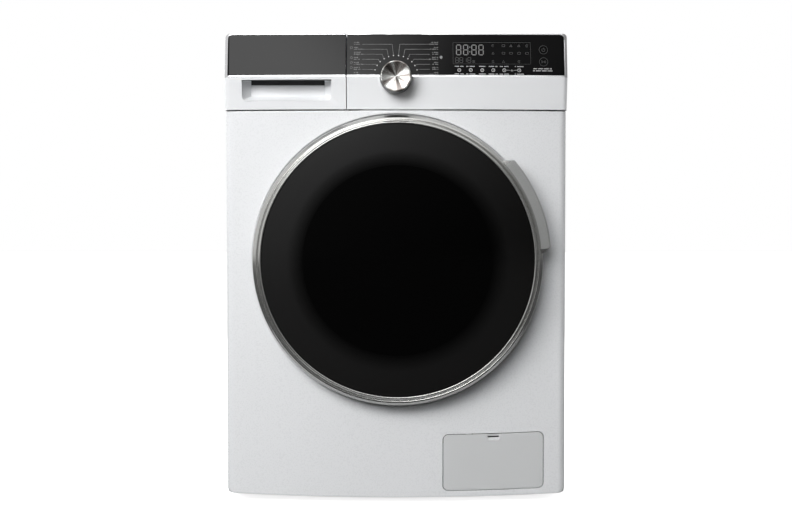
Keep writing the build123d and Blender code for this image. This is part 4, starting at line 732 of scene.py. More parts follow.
def makeKnobSkirt():
    # radius = profile + a shallow flute 0.25 sin(60 a) between the back and the front edge
    half = knob["radius"]
    profile = roundedPath([(0.01, 31, 0.1), (half - 3, 31, 0.3), (half - 3, knob["back"], 0.3),
                           (half - 0.6, knob["back"], 0.4), (half, knob["back"] + 2.5, 0.6),
                           (half - 0.1, knob["back"] + 9, 1), (half - 0.9, knob["face"] - 3.4, 0.8),
                           (half - 1.5, knob["face"] - 2.6, 0.4), (half - 2.4, knob["face"] - 3.0, 0.3),
                           (0.01, knob["face"] - 3.2, 0.1)], 0.5, 4, closed=False)
    grid = turned(profile, 360, (knobX, knobZ))
    a = np.linspace(0, 2 * np.pi, 360, endpoint=False)
    share = np.clip((profile[:, 0] - half + 2.2) / 1.0, 0, 1)
    share = share * np.clip((knob["face"] - 4 - profile[:, 1]) / 3, 0, 1)
    wave = 0.22 * share[:, None] * np.sin(60 * a)[None, :]
    grid[..., 0] += wave * np.cos(a)
    grid[..., 2] += wave * np.sin(a)
    spindle = turned([(0.01, -8), (3, -8), (3, 14.5), (6.5, 14.5), (6.5, 31.5)], 32, (knobX, knobZ))
    return makePiece("knobSkirtMoulding", [(grid, False, True), (spindle, False, True)], "program_knob",
                     knobBlack, ["knob_skirt"], sharp=30)


def makeKnobFace():
    # shallow dish: ahead = face - dish (1 - (r / R)^2), inside a bright chamfer
    outer = knob["radius"] - 3.0
    r = np.concatenate([[0.01], np.linspace(1.5, outer - 1.2, 16)])
    dish = [(q, knob["face"] - 0.8 - knob["dish"] * (1 - (q / outer) ** 2)) for q in r]
    rim = [(outer - 0.6, knob["face"] - 0.35), (outer, knob["face"]), (outer + 0.4, knob["face"] - 0.05),
           (outer + 1.2, knob["face"] - 1.0), (outer + 1.4, knob["face"] - 1.6),
           (outer + 1.4, knob["face"] - 4.0), (0.01, knob["face"] - 4.0)]
    piece = makePiece("knobFaceDisc", [(turned(dish + rim, 240, (knobX, knobZ)), False, True)],
                      "program_knob", spunMetalPaintedSheen, ["knob_face"], sharp=30)
    mesh = piece.data
    layer = mesh.uv_layers.new(name="around")
    corners = np.zeros(len(mesh.loops), int)
    mesh.loops.foreach_get("vertex_index", corners)
    place = np.zeros(len(mesh.vertices) * 3)
    mesh.vertices.foreach_get("co", place)
    place = place.reshape(-1, 3)[corners] / mm
    dx, dz = place[:, 0] - knobX, place[:, 2] - knobZ
    turn = np.arctan2(dz, dx) / (2 * np.pi) + 0.5
    starts, totals = np.zeros(len(mesh.polygons), int), np.zeros(len(mesh.polygons), int)
    mesh.polygons.foreach_get("loop_start", starts)
    mesh.polygons.foreach_get("loop_total", totals)
    owner = np.repeat(np.arange(len(starts)), totals)
    high = np.zeros(len(starts))
    np.maximum.at(high, owner, turn)
    turn = np.where(high[owner] - turn > 0.5, turn + 1, turn)
    layer.data.foreach_set("uv", np.stack([turn, np.hypot(dx, dz) / 30.0], -1).ravel())
    return piece


def makeSpunMetalPaintedSheen():
    # fine turning rings in the roughness and bump, and painted reflection: the wide light and dark sectors
    # that a turned disc's anisotropic reflections show, painted into the base colour by angle
    material, nodes, links, shader = newMaterial("spunMetalPaintedSheen", (0.55, 0.54, 0.52), 0.22, 1.0, Anisotropic=0.85)
    uv = nodes.new("ShaderNodeUVMap")
    uv.uv_map = "around"
    tangent = nodes.new("ShaderNodeTangent")
    tangent.direction_type = "UV_MAP"
    tangent.uv_map = "around"
    links.new(tangent.outputs["Tangent"], shader.inputs["Tangent"])
    split = nodes.new("ShaderNodeSeparateXYZ")
    links.new(uv.outputs["UV"], split.inputs["Vector"])
    sheenWaves = []
    for count, shift in ((2.0, 0.9), (5.0, 2.1), (9.0, 0.4)):
        turns = nodes.new("ShaderNodeMath")
        turns.operation = "MULTIPLY_ADD"
        turns.inputs[1].default_value = count * 2 * math.pi
        turns.inputs[2].default_value = shift
        links.new(split.outputs["X"], turns.inputs[0])
        wave = nodes.new("ShaderNodeMath")
        wave.operation = "SINE"
        links.new(turns.outputs["Value"], wave.inputs[0])
        sheenWaves.append(wave)
    total = nodes.new("ShaderNodeMath")
    total.operation = "ADD"
    links.new(sheenWaves[0].outputs["Value"], total.inputs[0])
    links.new(sheenWaves[1].outputs["Value"], total.inputs[1])
    third = nodes.new("ShaderNodeMath")
    third.operation = "ADD"
    links.new(total.outputs["Value"], third.inputs[0])
    links.new(sheenWaves[2].outputs["Value"], third.inputs[1])
    change = nodes.new("ShaderNodeMapRange")
    change.inputs["From Min"].default_value = -2.2
    change.inputs["From Max"].default_value = 2.2
    links.new(third.outputs["Value"], change.inputs["Value"])
    ramp = nodes.new("ShaderNodeValToRGB")
    # painted reflection: light and dark sectors in the base colour, set by the angle round the knob
    sheenTones = [(0.0, (0.10, 0.09, 0.085)), (0.36, (0.26, 0.235, 0.22)), (0.52, (0.42, 0.41, 0.39)),
             (0.68, (0.72, 0.73, 0.71)), (1.0, (0.92, 0.93, 0.91))]
    while len(ramp.color_ramp.elements) < len(sheenTones):
        ramp.color_ramp.elements.new(0.5)
    for element, (position, colour) in zip(ramp.color_ramp.elements, sheenTones):
        element.position = position
        element.color = (*colour, 1)
    links.new(change.outputs["Result"], ramp.inputs["Fac"])
    links.new(ramp.outputs["Color"], shader.inputs["Base Color"])
    rings = nodes.new("ShaderNodeTexNoise")
    rings.noise_dimensions = "1D"
    rings.inputs["Scale"].default_value = 160.0
    links.new(split.outputs["Y"], rings.inputs["W"])
    spread(nodes, links, rings.outputs["Fac"], 0.16, 0.34, shader.inputs["Roughness"])
    addBump(nodes, links, shader, rings.outputs["Fac"], 0.06, 0.0001)
    return material


knobBlack = surface("knobBlack", (0.012, 0.012, 0.012), 0.3, vary=0.1, grain=1800, bump=0.04)
spunMetalPaintedSheen = makeSpunMetalPaintedSheen()
makeKnobSkirt()
makeKnobFace()
print("selector knob made")


# control fascia: silver frame, dark gloss plates and their printed marks

fascia = {"half": 299.0, "beak": 744.0, "top": 821.5, "aheadLow": 14.0, "aheadHigh": 2.0, "sagLow": 10.0,
          "sagHigh": 3.0, "planCorner": 10.0, "corner": 9.0, "plateLow": 747.0, "rim": 6.0,
          "split": -86.0, "gap": 0.75, "print": 0.25}


def fasciaAhead(x, z):
    # ruled between two arcs: ahead and sag both run straight from the beak to the top edge
    share = np.clip((z - fascia["beak"]) / (fascia["top"] - fascia["beak"]), 0, 1)
    side = fascia["aheadLow"] + share * (fascia["aheadHigh"] - fascia["aheadLow"])
    sag = fascia["sagLow"] + share * (fascia["sagHigh"] - fascia["sagLow"])
    width = fascia["half"]
    rise = arcRise(np.clip(x, -width, width), width, 10.0) / 10.0
    return side + sag * rise - roll(width - np.abs(x), fascia["planCorner"])


def fasciaPlate(name, x0, x1, z0, z1, corner, proud, edge, thick, body, material, nodes=()):
    # plate that follows fasciaAhead, its edges rolled back by edge, corner = (left, right) top radii
    middle = (x0 + x1) / 2
    cols, rows = max(int((x1 - x0) / 4), 40), 28
    u = np.cos(np.linspace(np.pi, 0, cols))
    v = 0.5 - 0.5 * np.cos(np.linspace(0, np.pi, rows))
    z = z0 + v * (z1 - z0)
    drop = np.maximum(np.array(corner)[:, None] - (z1 - z)[None, :], 0)
    radius = np.array(corner)[:, None]
    pull = radius - np.sqrt(np.maximum(radius**2 - drop**2, 0))
    left, right = x0 + pull[0], x1 - pull[1]
    u = u[None, :]
    x = middle + np.where(u < 0, -u * (left - middle)[:, None], u * (right - middle)[:, None])
    zz = np.broadcast_to(z[:, None], x.shape)
    inside = np.minimum(np.minimum(x - left[:, None], right[:, None] - x), np.minimum(zz - z0, z1 - zz))
    ahead = fasciaAhead(x, zz) + proud - roll(inside, edge)
    outer = np.stack([x, front - ahead, zz], -1)
    inner = np.stack([x, front - fasciaAhead(x, zz) - proud + thick, zz], -1)
    border = lambda g: np.concatenate([g[0, :-1], g[:-1, -1], g[-1, :0:-1], g[:0:-1, 0]])
    wall = np.stack([border(outer), border(inner)])
    sheets = [(outer, False, False), (inner, False, False), (wall, False, True)]
    return makePiece(name, sheets, body, material, nodes, sharp=45)


fasciaBlack = surface("fasciaBlack", (0.0009, 0.0009, 0.001), 0.07, vary=0.1, grain=900, bump=0.004,
                      roughVary=0.015, Specular_IOR_Level=0.1)
leftEnd, rightEnd = -fascia["half"], fascia["half"]
fasciaPlate("fasciaPlateMain", fascia["split"] + fascia["gap"], rightEnd - fascia["rim"], fascia["plateLow"],
            fascia["top"] - 2.0, (0.01, 7.0), 0.15, 0.4, 1.2, "cabinet", fasciaBlack, ["control_fascia"])
fasciaPlate("fasciaPlateDrawer", leftEnd + fascia["rim"], fascia["split"] - fascia["gap"], fascia["plateLow"],
            fascia["top"] - 2.0, (7.0, 0.01), 0.4, 0.4, 1.2, "detergent_drawer", fasciaBlack)
fasciaPlate("fasciaSilverDrawer", leftEnd, fascia["split"] - fascia["gap"], fascia["beak"], fascia["top"],
            (9.0, 0.01), 0.0, 0.8, 2.8, "detergent_drawer", silverPaint, ["drawer_fascia"])
softened("fascia_bezel", silverPaint, 0.5)


class Marks:
    # printed shapes, gathered as strips and fans on the fascia's surface
    def __init__(self):
        self.points, self.faces = [], []

    def polygon(self, outline):
        # flat shape from its corners, laid just ahead of the fascia
        p = np.asarray(outline, float)
        start = sum(len(q) for q in self.points)
        y = front - fasciaAhead(p[:, 0], p[:, 1]) - fascia["print"]
        self.points.append(np.stack([p[:, 0], y, p[:, 1]], -1))
        self.faces.append(list(range(start, start + len(p))))

    def line(self, route, width):
        # each run becomes a rectangle: ends +- width / 2 along the run's normal
        for start, end in zip(route, route[1:]):
            length = math.hypot(end[0] - start[0], end[1] - start[1])
            nx, nz = -(end[1] - start[1]) / length * width / 2, (end[0] - start[0]) / length * width / 2
            stops = np.linspace(start, end, max(int(length / 6), 1) + 1)
            for (ax, az), (bx, bz) in zip(stops, stops[1:]):
                self.polygon([(ax - nx, az - nz), (bx - nx, bz - nz), (bx + nx, bz + nz), (ax + nx, az + nz)])

    def ring(self, x, z, radius, width, sides=24, arc=(0, 360)):
        a = np.radians(np.linspace(arc[0], arc[1], sides + 1))
        for first, second in zip(a, a[1:]):
            self.polygon([(x + r * math.cos(t), z + r * math.sin(t)) for r, t in
                          ((radius - width / 2, first), (radius + width / 2, first),
                           (radius + width / 2, second), (radius - width / 2, second))])

    def disc(self, x, z, radius, sides=16):
        self.polygon([(x + radius * math.cos(t), z + radius * math.sin(t))
                      for t in np.linspace(0, 2 * np.pi, sides, endpoint=False)])

    def piece(self, name, body, material):
        made = finishPiece(name, np.vstack(self.points) * mm, self.faces, body, material, outward=(0, -1, 0))
        return made


def inkMaterial(name, colour, rough=0.5):
    return surface(name, colour, rough, vary=0.05, grain=2400, bump=0.02)


dial = {"z": 743.4, "radius": 38.5, "dots": 14, "from": 6.0, "to": 174.0, "rowLow": 747.8, "rowStep": 9.0,
        "textAt": 73.0, "line": 0.42}


def printDial():
    # dots on an arc, each joined by a thin leader to its row of label bars
    bright, soft = Marks(), Marks()
    for index, degrees in enumerate(np.linspace(dial["from"], dial["to"], dial["dots"])):
        a = math.radians(degrees)
        side = 1 if index < dial["dots"] // 2 else -1
        row = index if side > 0 else dial["dots"] - 1 - index
        x, z = dial["radius"] * math.cos(a), dial["z"] + dial["radius"] * math.sin(a)
        bright.polygon([(x - 0.9, z - 0.9), (x + 0.9, z - 0.9), (x + 0.9, z + 0.9), (x - 0.9, z + 0.9)])
        level = dial["rowLow"] + dial["rowStep"] * row
        lead = (dial["radius"] + 2.4) * math.cos(a), dial["z"] + (dial["radius"] + 2.4) * math.sin(a)
        bend = (lead[0] + side * (2.0 if row > 0 else 0.5), level)
        soft.line([lead, bend, (side * (dial["textAt"] - 14.0), level)], dial["line"])
        for part, (offset, share) in enumerate(((2.6, 0.72), (-0.6, 1.0))):
            length = 14.0 + 3.5 * math.sin(2.3 * index + part)
            x0 = side * dial["textAt"] - (0 if side > 0 else 0)
            steps = int(length * share / 1.5)
            for k in range(steps):
                if (k * 7 + index * 3 + part) % 6 == 5:
                    continue
                cx = x0 - side * (k * 1.5 + 0.6)
                tall = 1.3 + 0.5 * ((k * 5 + index) % 3 == 0)
                soft.polygon([(cx - 0.42, level + offset), (cx + 0.42, level + offset),
                              (cx + 0.42, level + offset + tall), (cx - 0.42, level + offset + tall)])
    for z in (795.9, 777.8, 768.9, 760.0):
        soft.ring(-77.3, z, 2.0, 0.4)
    soft.disc(78.2, 778.7, 2.4)
    soft.line([(76.8, 776.2), (79.6, 776.2)], 0.8)
    bright.piece("dialDots", "cabinet", inkWhite)
    soft.piece("dialLines", "cabinet", inkGrey)


display = {"x0": 99.0, "x1": 233.8, "z0": 766.8, "z1": 805.2}
digitBars = ((0, 1, 1, 1), (1, 0.5, 1, 1), (1, 0, 1, 0.5), (0, 0, 1, 0), (0, 0, 0, 0.5), (0, 0.5, 0, 1),
             (0, 0.5, 1, 0.5))


def printDigit(marks, x, z, wide, tall, line):
    # seven bars: each runs between two corners of the digit, short of both ends
    for ax, az, bx, bz in digitBars:
        px, pz, qx, qz = x + ax * wide, z + az * tall, x + bx * wide, z + bz * tall
        length = math.hypot(qx - px, qz - pz)
        ux, uz = (qx - px) / length * line * 0.62, (qz - pz) / length * line * 0.62
        marks.line([(px + ux, pz + uz), (qx - ux, qz - uz)], line)


def printDisplay():
    frameLine, lit, faint, keys = Marks(), Marks(), Marks(), Marks()
    x0, x1, z0, z1 = display["x0"], display["x1"], display["z0"], display["z1"]
    frameLine.line([(x0, z0), (x1, z0), (x1, z1), (x0, z1), (x0, z0)], 0.35)
    for x in (104.9, 117.2, 131.6, 143.9):
        printDigit(lit, x, 783.0, 7.6, 17.6, 1.35)
    for z in (787.6, 796.0):
        lit.polygon([(127.4, z), (129.0, z), (129.0, z + 1.6), (127.4, z + 1.6)])
    for x in (103.0, 110.4, 124.4):
        printDigit(faint, x, 768.8, 5.4, 9.2, 0.8)
    faint.line([(121.8, 770.0), (121.8, 776.6)], 0.7)
    for k in range(3):
        faint.line([(132.4, 769.4 + 1.6 * k), (137.0, 769.4 + 1.6 * k)], 0.6)
    for x, z, kind in ((168.5, 799.4, 0), (186.7, 799.4, 1), (199.8, 799.4, 2), (213.7, 799.4, 2),
                       (227.6, 799.4, 0), (168.5, 785.9, 2), (186.7, 785.9, 1), (199.8, 785.9, 1),
                       (213.7, 785.9, 1), (227.6, 785.9, 1), (168.5, 771.0, 0), (186.7, 771.0, 2),
                       (213.7, 771.0, 0)):
        if kind == 0:
            faint.ring(x, z, 2.1, 0.5, 16, (30, 330))
            faint.line([(x - 0.9, z), (x + 0.9, z)], 0.5)
        elif kind == 1:
            faint.line([(x - 2.6, z + 1.6), (x - 2.2, z - 1.6), (x + 2.2, z - 1.6), (x + 2.6, z + 1.6),
                        (x + 1.2, z + 1.9), (x - 1.2, z + 1.9), (x - 2.6, z + 1.6)], 0.5)
        else:
            faint.line([(x - 2.2, z - 1.6), (x, z + 2.0), (x + 2.2, z - 1.6), (x - 2.2, z - 1.6)], 0.5)
    for index, x in enumerate((109.4, 129.4, 149.4, 168.5, 187.6, 213.7)):
        keys.ring(x, 755.7, 2.7, 0.75, 18)
        keys.line([(x - 1.0 + 0.3 * index, 755.0), (x + 0.9, 756.8)], 0.7)
        for z, wide, tall in ((761.6, 7.4, 1.5), (747.9, 7.8, 1.8)):
            for k in range(8):
                if (k * 5 + index * 3) % 7 == 6:
                    continue
                cx = x - wide + k * wide / 3.9
                keys.polygon([(cx, z), (cx + 1.15, z), (cx + 1.15, z + tall), (cx, z + tall)])
    keys.line([(191.4, 755.7), (198.0, 755.7)], 0.4)
    keys.line([(203.4, 755.7), (210.0, 755.7)], 0.4)
    keys.line([(199.4, 754.4), (200.7, 757.0), (202.0, 754.4), (199.4, 754.4)], 0.5)
    for z in (792.5, 771.0):
        faint.ring(256.4, z, 7.4, 0.5, 36)
    faint.ring(256.4, 792.2, 2.8, 0.55, 20, (120, 420))
    faint.line([(256.4, 793.0), (256.4, 796.2)], 0.55)
    faint.line([(253.2, 768.6), (253.2, 773.4), (256.2, 771.0), (253.2, 768.6)], 0.5)
    faint.line([(258.0, 768.8), (258.0, 773.2)], 0.6)
    faint.line([(260.0, 768.8), (260.0, 773.2)], 0.6)
    for z, first, last in ((758.0, 238.4, 272.0), (754.2, 237.8, 272.6)):
        for k in range(int((last - first) / 1.7)):
            if (k * 7 + int(z)) % 6 == 0:
                continue
            keys.polygon([(first + 1.7 * k, z), (first + 1.7 * k + 1.2, z), (first + 1.7 * k + 1.2, z + 1.5),
                          (first + 1.7 * k, z + 1.5)])
    frameLine.piece("displayFrame", "cabinet", inkDim)
    lit.piece("displayTime", "cabinet", inkLit)
    faint.piece("displayIcons", "cabinet", inkDim)
    keys.piece("touchKeys", "cabinet", inkWhite)


inkWhite = inkMaterial("inkWhite", (0.62, 0.62, 0.62))
inkGrey = inkMaterial("inkGrey", (0.26, 0.26, 0.26))
inkDim = inkMaterial("inkDim", (0.045, 0.045, 0.045))
inkLit = inkMaterial("inkLit", (0.22, 0.22, 0.22))
printDial()
printDisplay()
print("fascia printed")


grip = {"x0": -267.6, "x1": -112.4, "top": 739.3, "low": 688.75, "beak": 744.0, "aheadLow": 4.0,
        "aheadBeak": 14.0, "sagLow": 12.0, "sagBeak": 10.0, "inner": 6.4, "back": -12.7,
        "innerSide": 13.0, "innerLow": 733.7}


def makeGripShadow():
    # painted shade: a dark strip under the beak, where the grip recess is only in shade, with ahead running
    # from the undercut to the ruled front face, and a dark strip at its back for the shaded undercut
    x = np.linspace(grip["x0"], grip["x1"], 60)
    share = (grip["top"] - grip["low"]) / (grip["beak"] - grip["low"])
    side = grip["aheadLow"] + share * (grip["aheadBeak"] - grip["aheadLow"])
    sag = grip["sagLow"] + share * (grip["sagBeak"] - grip["sagLow"])
    face = side + sag * arcRise(x, fascia["half"], 10.0) / 10.0 - 0.6
    v = np.linspace(0, 1, 4)[:, None]
    lidAhead = grip["inner"] + v * (face - grip["inner"])
    lid = np.stack([x + 0 * v, front - lidAhead, grip["top"] + 0 * (x + v)], -1)
    inner = np.linspace(grip["x0"] + grip["innerSide"], grip["x1"] - grip["innerSide"], 40)
    up = np.linspace(grip["innerLow"], grip["top"] + 7.5, 4)[:, None]
    wall = np.stack([inner + 0 * up, front - grip["back"] + 0 * (inner + up), up + 0 * inner], -1)
    # painted shade: both sheets take the dark moulding finish only to stand in for the recess's shade
    for name, sheet, outward in (("gripUndersidePaintedShade", lid, (0, 0, -1)),
                                 ("gripUndercutPaintedShade", wall, (0, -1, 0))):
        makePiece(name, [(sheet, False, False)], "detergent_drawer", darkMoulding, outward=outward)


makeGripShadow()


# suspension, gasket and hoses: the flexible pieces between the cabinet and the tub

coil = {"x": (-281.0, 281.0), "ahead": (-150.0, -395.0), "low": 546.0, "high": 772.0, "radius": 7.2,
        "wire": 1.7, "turns": 24, "steps": 15, "tubAt": 553.0, "cabinetAt": 768.0}


def makeSprings():
    # helix: (x + r cos(turn), y + r sin(turn), z), r growing from nothing at both hooks
    t = np.linspace(0, 1, coil["turns"] * coil["steps"])
    z = coil["low"] + t * (coil["high"] - coil["low"])
    grow = np.clip((t - 0.07) / 0.03, 0, 1) * np.clip((0.93 - t) / 0.03, 0, 1)
    reach = coil["radius"] * grow * grow * (3 - 2 * grow)
    turn = 2 * np.pi * coil["turns"] * np.clip((t - 0.06) / 0.88, 0, 1)
    sheets = []
    for x in coil["x"]:
        for ahead in coil["ahead"]:
            path = np.stack([x + reach * np.cos(turn), front - ahead + reach * np.sin(turn), z], -1)
            sheets.append((tube(path, coil["wire"], 7), False, True))
            for end in (0, -1):
                cap = tube(path[[0, 1]] if end == 0 else path[[-2, -1]], coil["wire"], 7)[end]
                sheets.append((np.stack([cap, np.broadcast_to(path[end], cap.shape)]), False, True))
    return makePiece("suspensionCoils", sheets, "cabinet", zincSteel, ["suspension_springs"], sharp=60,
                     blend=("tub", (0, 0, coil["cabinetAt"] * mm), (0, 0, coil["tubAt"] * mm)))


bellows = [  # radius, ahead, corner radius
    (151.5, -3.5, 1.5), (160.0, -2.2, 4.0), (171.5, -1.2, 1.0), (171.4, -16.0, 2.0), (171.4, -29.0, 3.0),
    (158.5, -37.5, 2.5), (172.6, -47.5, 3.0), (173.4, -69.8, 1.0), (170.6, -69.8, 1.0), (170.4, -50.5, 3.0),
    (153.4, -39.2, 1.4), (153.4, -35.8, 1.4), (167.8, -27.8, 3.0), (168.2, -6.0, 2.5), (160.0, -5.4, 3.0),
    (151.5, -6.6, 1.4)]


def makeGasket():
    # rounded bellows section turned about the door axis
    section = roundedPath(bellows, 1.0, 6)
    return makePiece("gasketBellows", [(turned(section, 200), True, True)], "cabinet", greyRubber,
                     ["door_gasket"], sharp=50,
                     blend=("tub", (0, (front + 8.0) * mm, 0), (0, (front + 46.0) * mm, 0)))


def makeFillSleeve():
    # ribbed sleeve: radius = 18 + 0.9 cos(7 turns up its length), open at both ends
    low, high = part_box("fill_hose")
    x, y = (low.x + high.x) / 2 / mm, (low.y + high.y) / 2 / mm
    z0, z1 = low.z / mm, high.z / mm
    z = np.linspace(z0, z1, 60)
    outer = [(18.1 + 0.85 * math.cos(2 * math.pi * 5 * (h - z0) / (z1 - z0)), h) for h in z]
    inner = [(16.4, h) for h in z[::-1]]
    return makePiece("fillSleeve", [(upright(outer + inner, 72, x, y), True, True)], "cabinet", blackRubber,
                     ["fill_hose"], sharp=60, blend=("tub", (0, 0, (z1 - 6) * mm), (0, 0, (z0 + 6) * mm)))


wrapper = {"inside": 235.0, "outside": 236.4, "first": -96.0, "last": -420.0, "around": 98,
           "along": 20, "hole": 2.7}


def makeWrapper():
    # rolled sheet of square cells, each with an eight sided hole: r = radius, angle = u, ahead = v
    around, along = wrapper["around"], wrapper["along"]
    border = np.array([(0, 0), (0.5, 0), (1, 0), (1, 0.5), (1, 1), (0.5, 1), (0, 1), (0, 0.5)], float)
    turn = np.radians(np.arange(225, 585, 45))
    wide = 2 * np.pi * wrapper["inside"] / around
    tall = (wrapper["first"] - wrapper["last"]) / along
    hole = np.stack([0.5 + wrapper["hole"] * np.cos(turn) / wide,
                     0.5 + wrapper["hole"] * np.sin(turn) / tall], -1)
    cell = np.vstack([border, hole])
    i, j = np.meshgrid(np.arange(around), np.arange(along), indexing="ij")
    u = (i[..., None] + cell[:, 0]) / around * 2 * np.pi
    ahead = wrapper["last"] + (j[..., None] + cell[:, 1]) * tall
    skins = [np.stack([doorX + r * np.cos(u), front - ahead, doorZ + r * np.sin(u)], -1).reshape(-1, 3)
             for r in (wrapper["outside"], wrapper["inside"])]
    k = np.arange(8)
    web = np.stack([k, (k + 1) % 8, 8 + (k + 1) % 8, 8 + k], -1)
    starts = np.arange(around * along)[:, None, None] * 16
    total = around * along * 16
    outer = (web + starts).reshape(-1, 4)
    through = np.stack([8 + k, 8 + (k + 1) % 8, 8 + (k + 1) % 8 + total, 8 + k + total], -1)
    holes = (through + starts).reshape(-1, 4)
    ends = []
    for row, corners in ((0, (0, 1, 2)), (along - 1, (6, 5, 4))):
        base = (np.arange(around) * along + row) * 16
        for a, b in zip(corners, corners[1:]):
            ends.append(np.stack([base + a, base + b, base + b + total, base + a + total], -1))
    faces = np.vstack([outer, outer + total, holes] + ends)
    return finishPiece("drumWrapperSheet", np.vstack(skins) * mm, faces.tolist(), "drum", drumSteel,
                       ["drum_wrapper"], sharp=35)


sump = {"x": 73.0, "ahead": -125.0, "top": 171.8, "neck": 132.0, "knee": (4.0, 12.0, 112.0),
        "pumpX": 171.0, "pumpZ": 72.0, "pumpAhead": -90.0, "lean": 20.0, "reach": (84.0, 42.0),
        "radius": 15.4, "rib": 0.55, "inside": 13.3,
        "ribs": 19, "cabinetAt": 92.0, "tubAt": 128.0}


def makeSumpHose():
    # ribbed hose: radius + rib cos(turns along it), carried along a curve from the tub's spout to the pump
    lean = math.radians(sump["lean"])
    pump = [(sump["pumpX"] - r * math.cos(lean), sump["pumpAhead"], sump["pumpZ"] + r * math.sin(lean))
            for r in sump["reach"]]
    dx, da, kneeZ = sump["knee"]
    route = [(sump["x"], sump["ahead"], sump["top"]), (sump["x"], sump["ahead"], sump["neck"]),
             (sump["x"] + dx, sump["ahead"] + da, kneeZ), pump[0], pump[1]]
    route = [(x, front - ahead, z) for x, ahead, z in route]
    path = smoothRoute(route, 150)
    t = np.linspace(0, 1, len(path))
    plain = np.clip((np.minimum(t, 1 - t) - 0.1) / 0.05, 0, 1)  # the cuffs at both ends are smooth
    radius = sump["radius"] + plain * sump["rib"] * np.cos(2 * np.pi * sump["ribs"] * t)
    outer, inner = tube(path, radius, 32), tube(path, sump["inside"], 32)[::-1]
    grid = np.concatenate([outer, inner])
    return makePiece("sumpHoseRibbed", [(grid, True, True)], "cabinet", blackRubber, ["sump_hose"], sharp=60,
                     blend=("tub", (0, 0, sump["cabinetAt"] * mm), (0, 0, sump["tubAt"] * mm)))


makeSprings()
makeGasket()
makeSumpHose()
makeFillSleeve()
makeWrapper()
print("springs, gasket and drum made")



# studio: pale floor, soft light from the upper left, and the camera

camera = {"place": (0.0, -2.2565, 0.4684), "pitch": -1.5, "lens": 51.8}
studio = {"core": (-0.22, -0.85, 0.47), "coreFrom": 0.942, "coreTo": 0.998, "coreStrength": 10.0,
          "soft": (-1.0, 0.0, 0.9), "softFrom": -0.25, "softTo": 0.30, "softStrength": 0.62,
          "base": 0.24, "flagFrom": 0.80, "flagTo": 0.93, "flagKeeps": 0.05, "sky": 0.45, "backdrop": 1.0,
          "diffuseShare": 0.17,
          "lamps": {"lampFront": ((-1.15, -1.9, 1.45), (-0.1, -0.3, 0.5), 1.0, 29.0),
                    "lampRight": ((2.1, 0.9, 1.1), (0.3, 0.0, 0.4), 1.2, 26.0),
                    "lampLeft": ((-2.1, 1.1, 1.2), (-0.3, 0.0, 0.4), 1.2, 14.0),
                    "lampBack": ((-0.5, 2.6, 1.4), (0.0, 0.3, 0.4), 1.4, 36.0)},
          "floorSize": 60.0, "floorGlow": 0.85, "floorShade": 0.04}


def makePaper():
    # pale to look at, darker to the light that it throws back, so the machine's lower half stays calm
    paper, nodes, links, shader = newMaterial("floorPaper", (0.9, 0.9, 0.9), 0.75)
    grain = noiseAt(nodes, links, 40.0, 2.0)
    addBump(nodes, links, shader, grain.outputs["Fac"], 0.02, 0.0003)
    path = nodes.new("ShaderNodeLightPath")
    shade = nodes.new("ShaderNodeMapRange")
    shade.inputs["To Min"].default_value = studio["floorShade"]
    shade.inputs["To Max"].default_value = 0.9
    links.new(path.outputs["Is Camera Ray"], shade.inputs["Value"])
    links.new(shade.outputs["Result"], shader.inputs["Base Color"])
    glow = nodes.new("ShaderNodeMapRange")
    glow.inputs["To Max"].default_value = studio["floorGlow"]
    links.new(path.outputs["Is Camera Ray"], glow.inputs["Value"])
    shader.inputs["Emission Color"].default_value = (1, 1, 1, 1)
    links.new(glow.outputs["Result"], shader.inputs["Emission Strength"])
    return paper


def makeFloor():
    # square sheet: x = size (u - 1/2), y = size (v - 1/2) at z = 0
    t = (np.linspace(0, 1, 9) - 0.5) * studio["floorSize"]
    x, y = np.meshgrid(t, t)
    mesh = bpy.data.meshes.new("floor")
    points = np.stack([x, y, 0 * x - 0.0002], -1).reshape(-1, 3)
    mesh.from_pydata(points.tolist(), [], gridFaces(9, 9).tolist())
    mesh.materials.append(makePaper())
    floor = bpy.data.objects.new("floor", mesh)
    bpy.context.scene.collection.objects.link(floor)


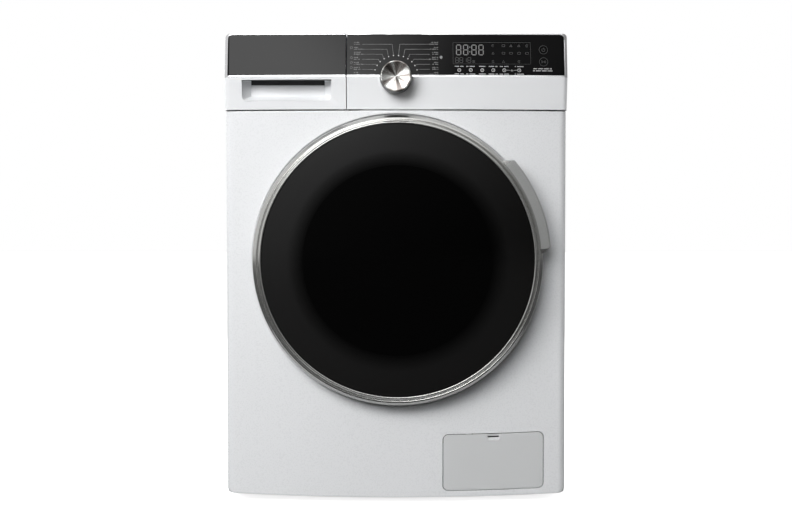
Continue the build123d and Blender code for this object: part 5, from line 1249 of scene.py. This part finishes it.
def makeWorld():
    # radiance = base (1 - flag) + sky up + soft smoothstep(upper left)
    #            + core smoothstep(round the key direction)
    world = bpy.data.worlds.new("studio")
    world.use_nodes = True
    bpy.context.scene.world = world
    nodes, links = world.node_tree.nodes, world.node_tree.links
    background = nodes["Background"]
    where = nodes.new("ShaderNodeTexCoord")

    def ramp(direction, low, high, first, last, unit=True):
        # smoothstep of direction . axis between low and high, from first to last
        dot = nodes.new("ShaderNodeVectorMath")
        dot.operation = "DOT_PRODUCT"
        dot.inputs[1].default_value = Vector(direction).normalized() if unit else direction
        links.new(where.outputs["Generated"], dot.inputs[0])
        change = nodes.new("ShaderNodeMapRange")
        change.interpolation_type = "SMOOTHSTEP"
        for socket, value in (("From Min", low), ("From Max", high), ("To Min", first), ("To Max", last)):
            change.inputs[socket].default_value = value
        links.new(dot.outputs["Value"], change.inputs["Value"])
        return change.outputs["Result"]

    def combine(a, b, operation):
        joined = nodes.new("ShaderNodeMath")
        joined.operation = operation
        links.new(a, joined.inputs[0])
        links.new(b, joined.inputs[1])
        return joined.outputs["Value"]

    core = ramp(studio["core"], studio["coreFrom"], studio["coreTo"], 0.0, studio["coreStrength"])
    soft = ramp(studio["soft"], studio["softFrom"], studio["softTo"], 0.0, studio["softStrength"], unit=False)
    flag = ramp((0, -1, 0), studio["flagFrom"], studio["flagTo"], studio["base"],
                studio["base"] * studio["flagKeeps"])
    sky = ramp((0, 0, 1), 0.35, 1.0, 0.0, studio["sky"])
    total = combine(combine(core, soft, "ADD"), combine(flag, sky, "ADD"), "ADD")
    path = nodes.new("ShaderNodeLightPath")
    # the lamps do most of the lighting, the sky most of the reflections
    share = nodes.new("ShaderNodeMapRange")
    share.inputs["To Min"].default_value = 1.0
    share.inputs["To Max"].default_value = studio["diffuseShare"]
    links.new(path.outputs["Is Diffuse Ray"], share.inputs["Value"])
    total = combine(total, share.outputs["Result"], "MULTIPLY")
    choose = nodes.new("ShaderNodeMix")
    choose.data_type = "FLOAT"
    choose.inputs[3].default_value = studio["backdrop"]
    links.new(path.outputs["Is Camera Ray"], choose.inputs[0])
    links.new(total, choose.inputs[2])
    links.new(choose.outputs[0], background.inputs["Strength"])
    background.inputs["Color"].default_value = (1.0, 1.0, 1.0, 1)


def makeLamps():
    # large soft lamps: the front one is near enough that the upper left is lit more than the lower right
    for name, (place, aimAt, size, power) in studio["lamps"].items():
        data = bpy.data.lights.new(name, "AREA")
        data.shape = "SQUARE"
        data.size = size
        data.energy = power
        lamp = bpy.data.objects.new(name, data)
        lamp.location = place
        lamp.rotation_euler = (Vector(aimAt) - Vector(place)).to_track_quat("-Z", "Y").to_euler()
        lamp.visible_glossy = name == "lampBack"
        bpy.context.scene.collection.objects.link(lamp)


def makeCamera():
    data = bpy.data.cameras.new("camera")
    data.lens = camera["lens"]
    data.sensor_width = 36.0
    seen = bpy.data.objects.new("camera", data)
    seen.location = camera["place"]
    seen.rotation_euler = (math.radians(90 + camera["pitch"]), 0, 0)
    bpy.context.scene.collection.objects.link(seen)
    bpy.context.scene.camera = seen
    bpy.context.scene.view_settings.view_transform = "Standard"


makeFloor()
makeWorld()
makeLamps()
makeCamera()
print("studio ready")
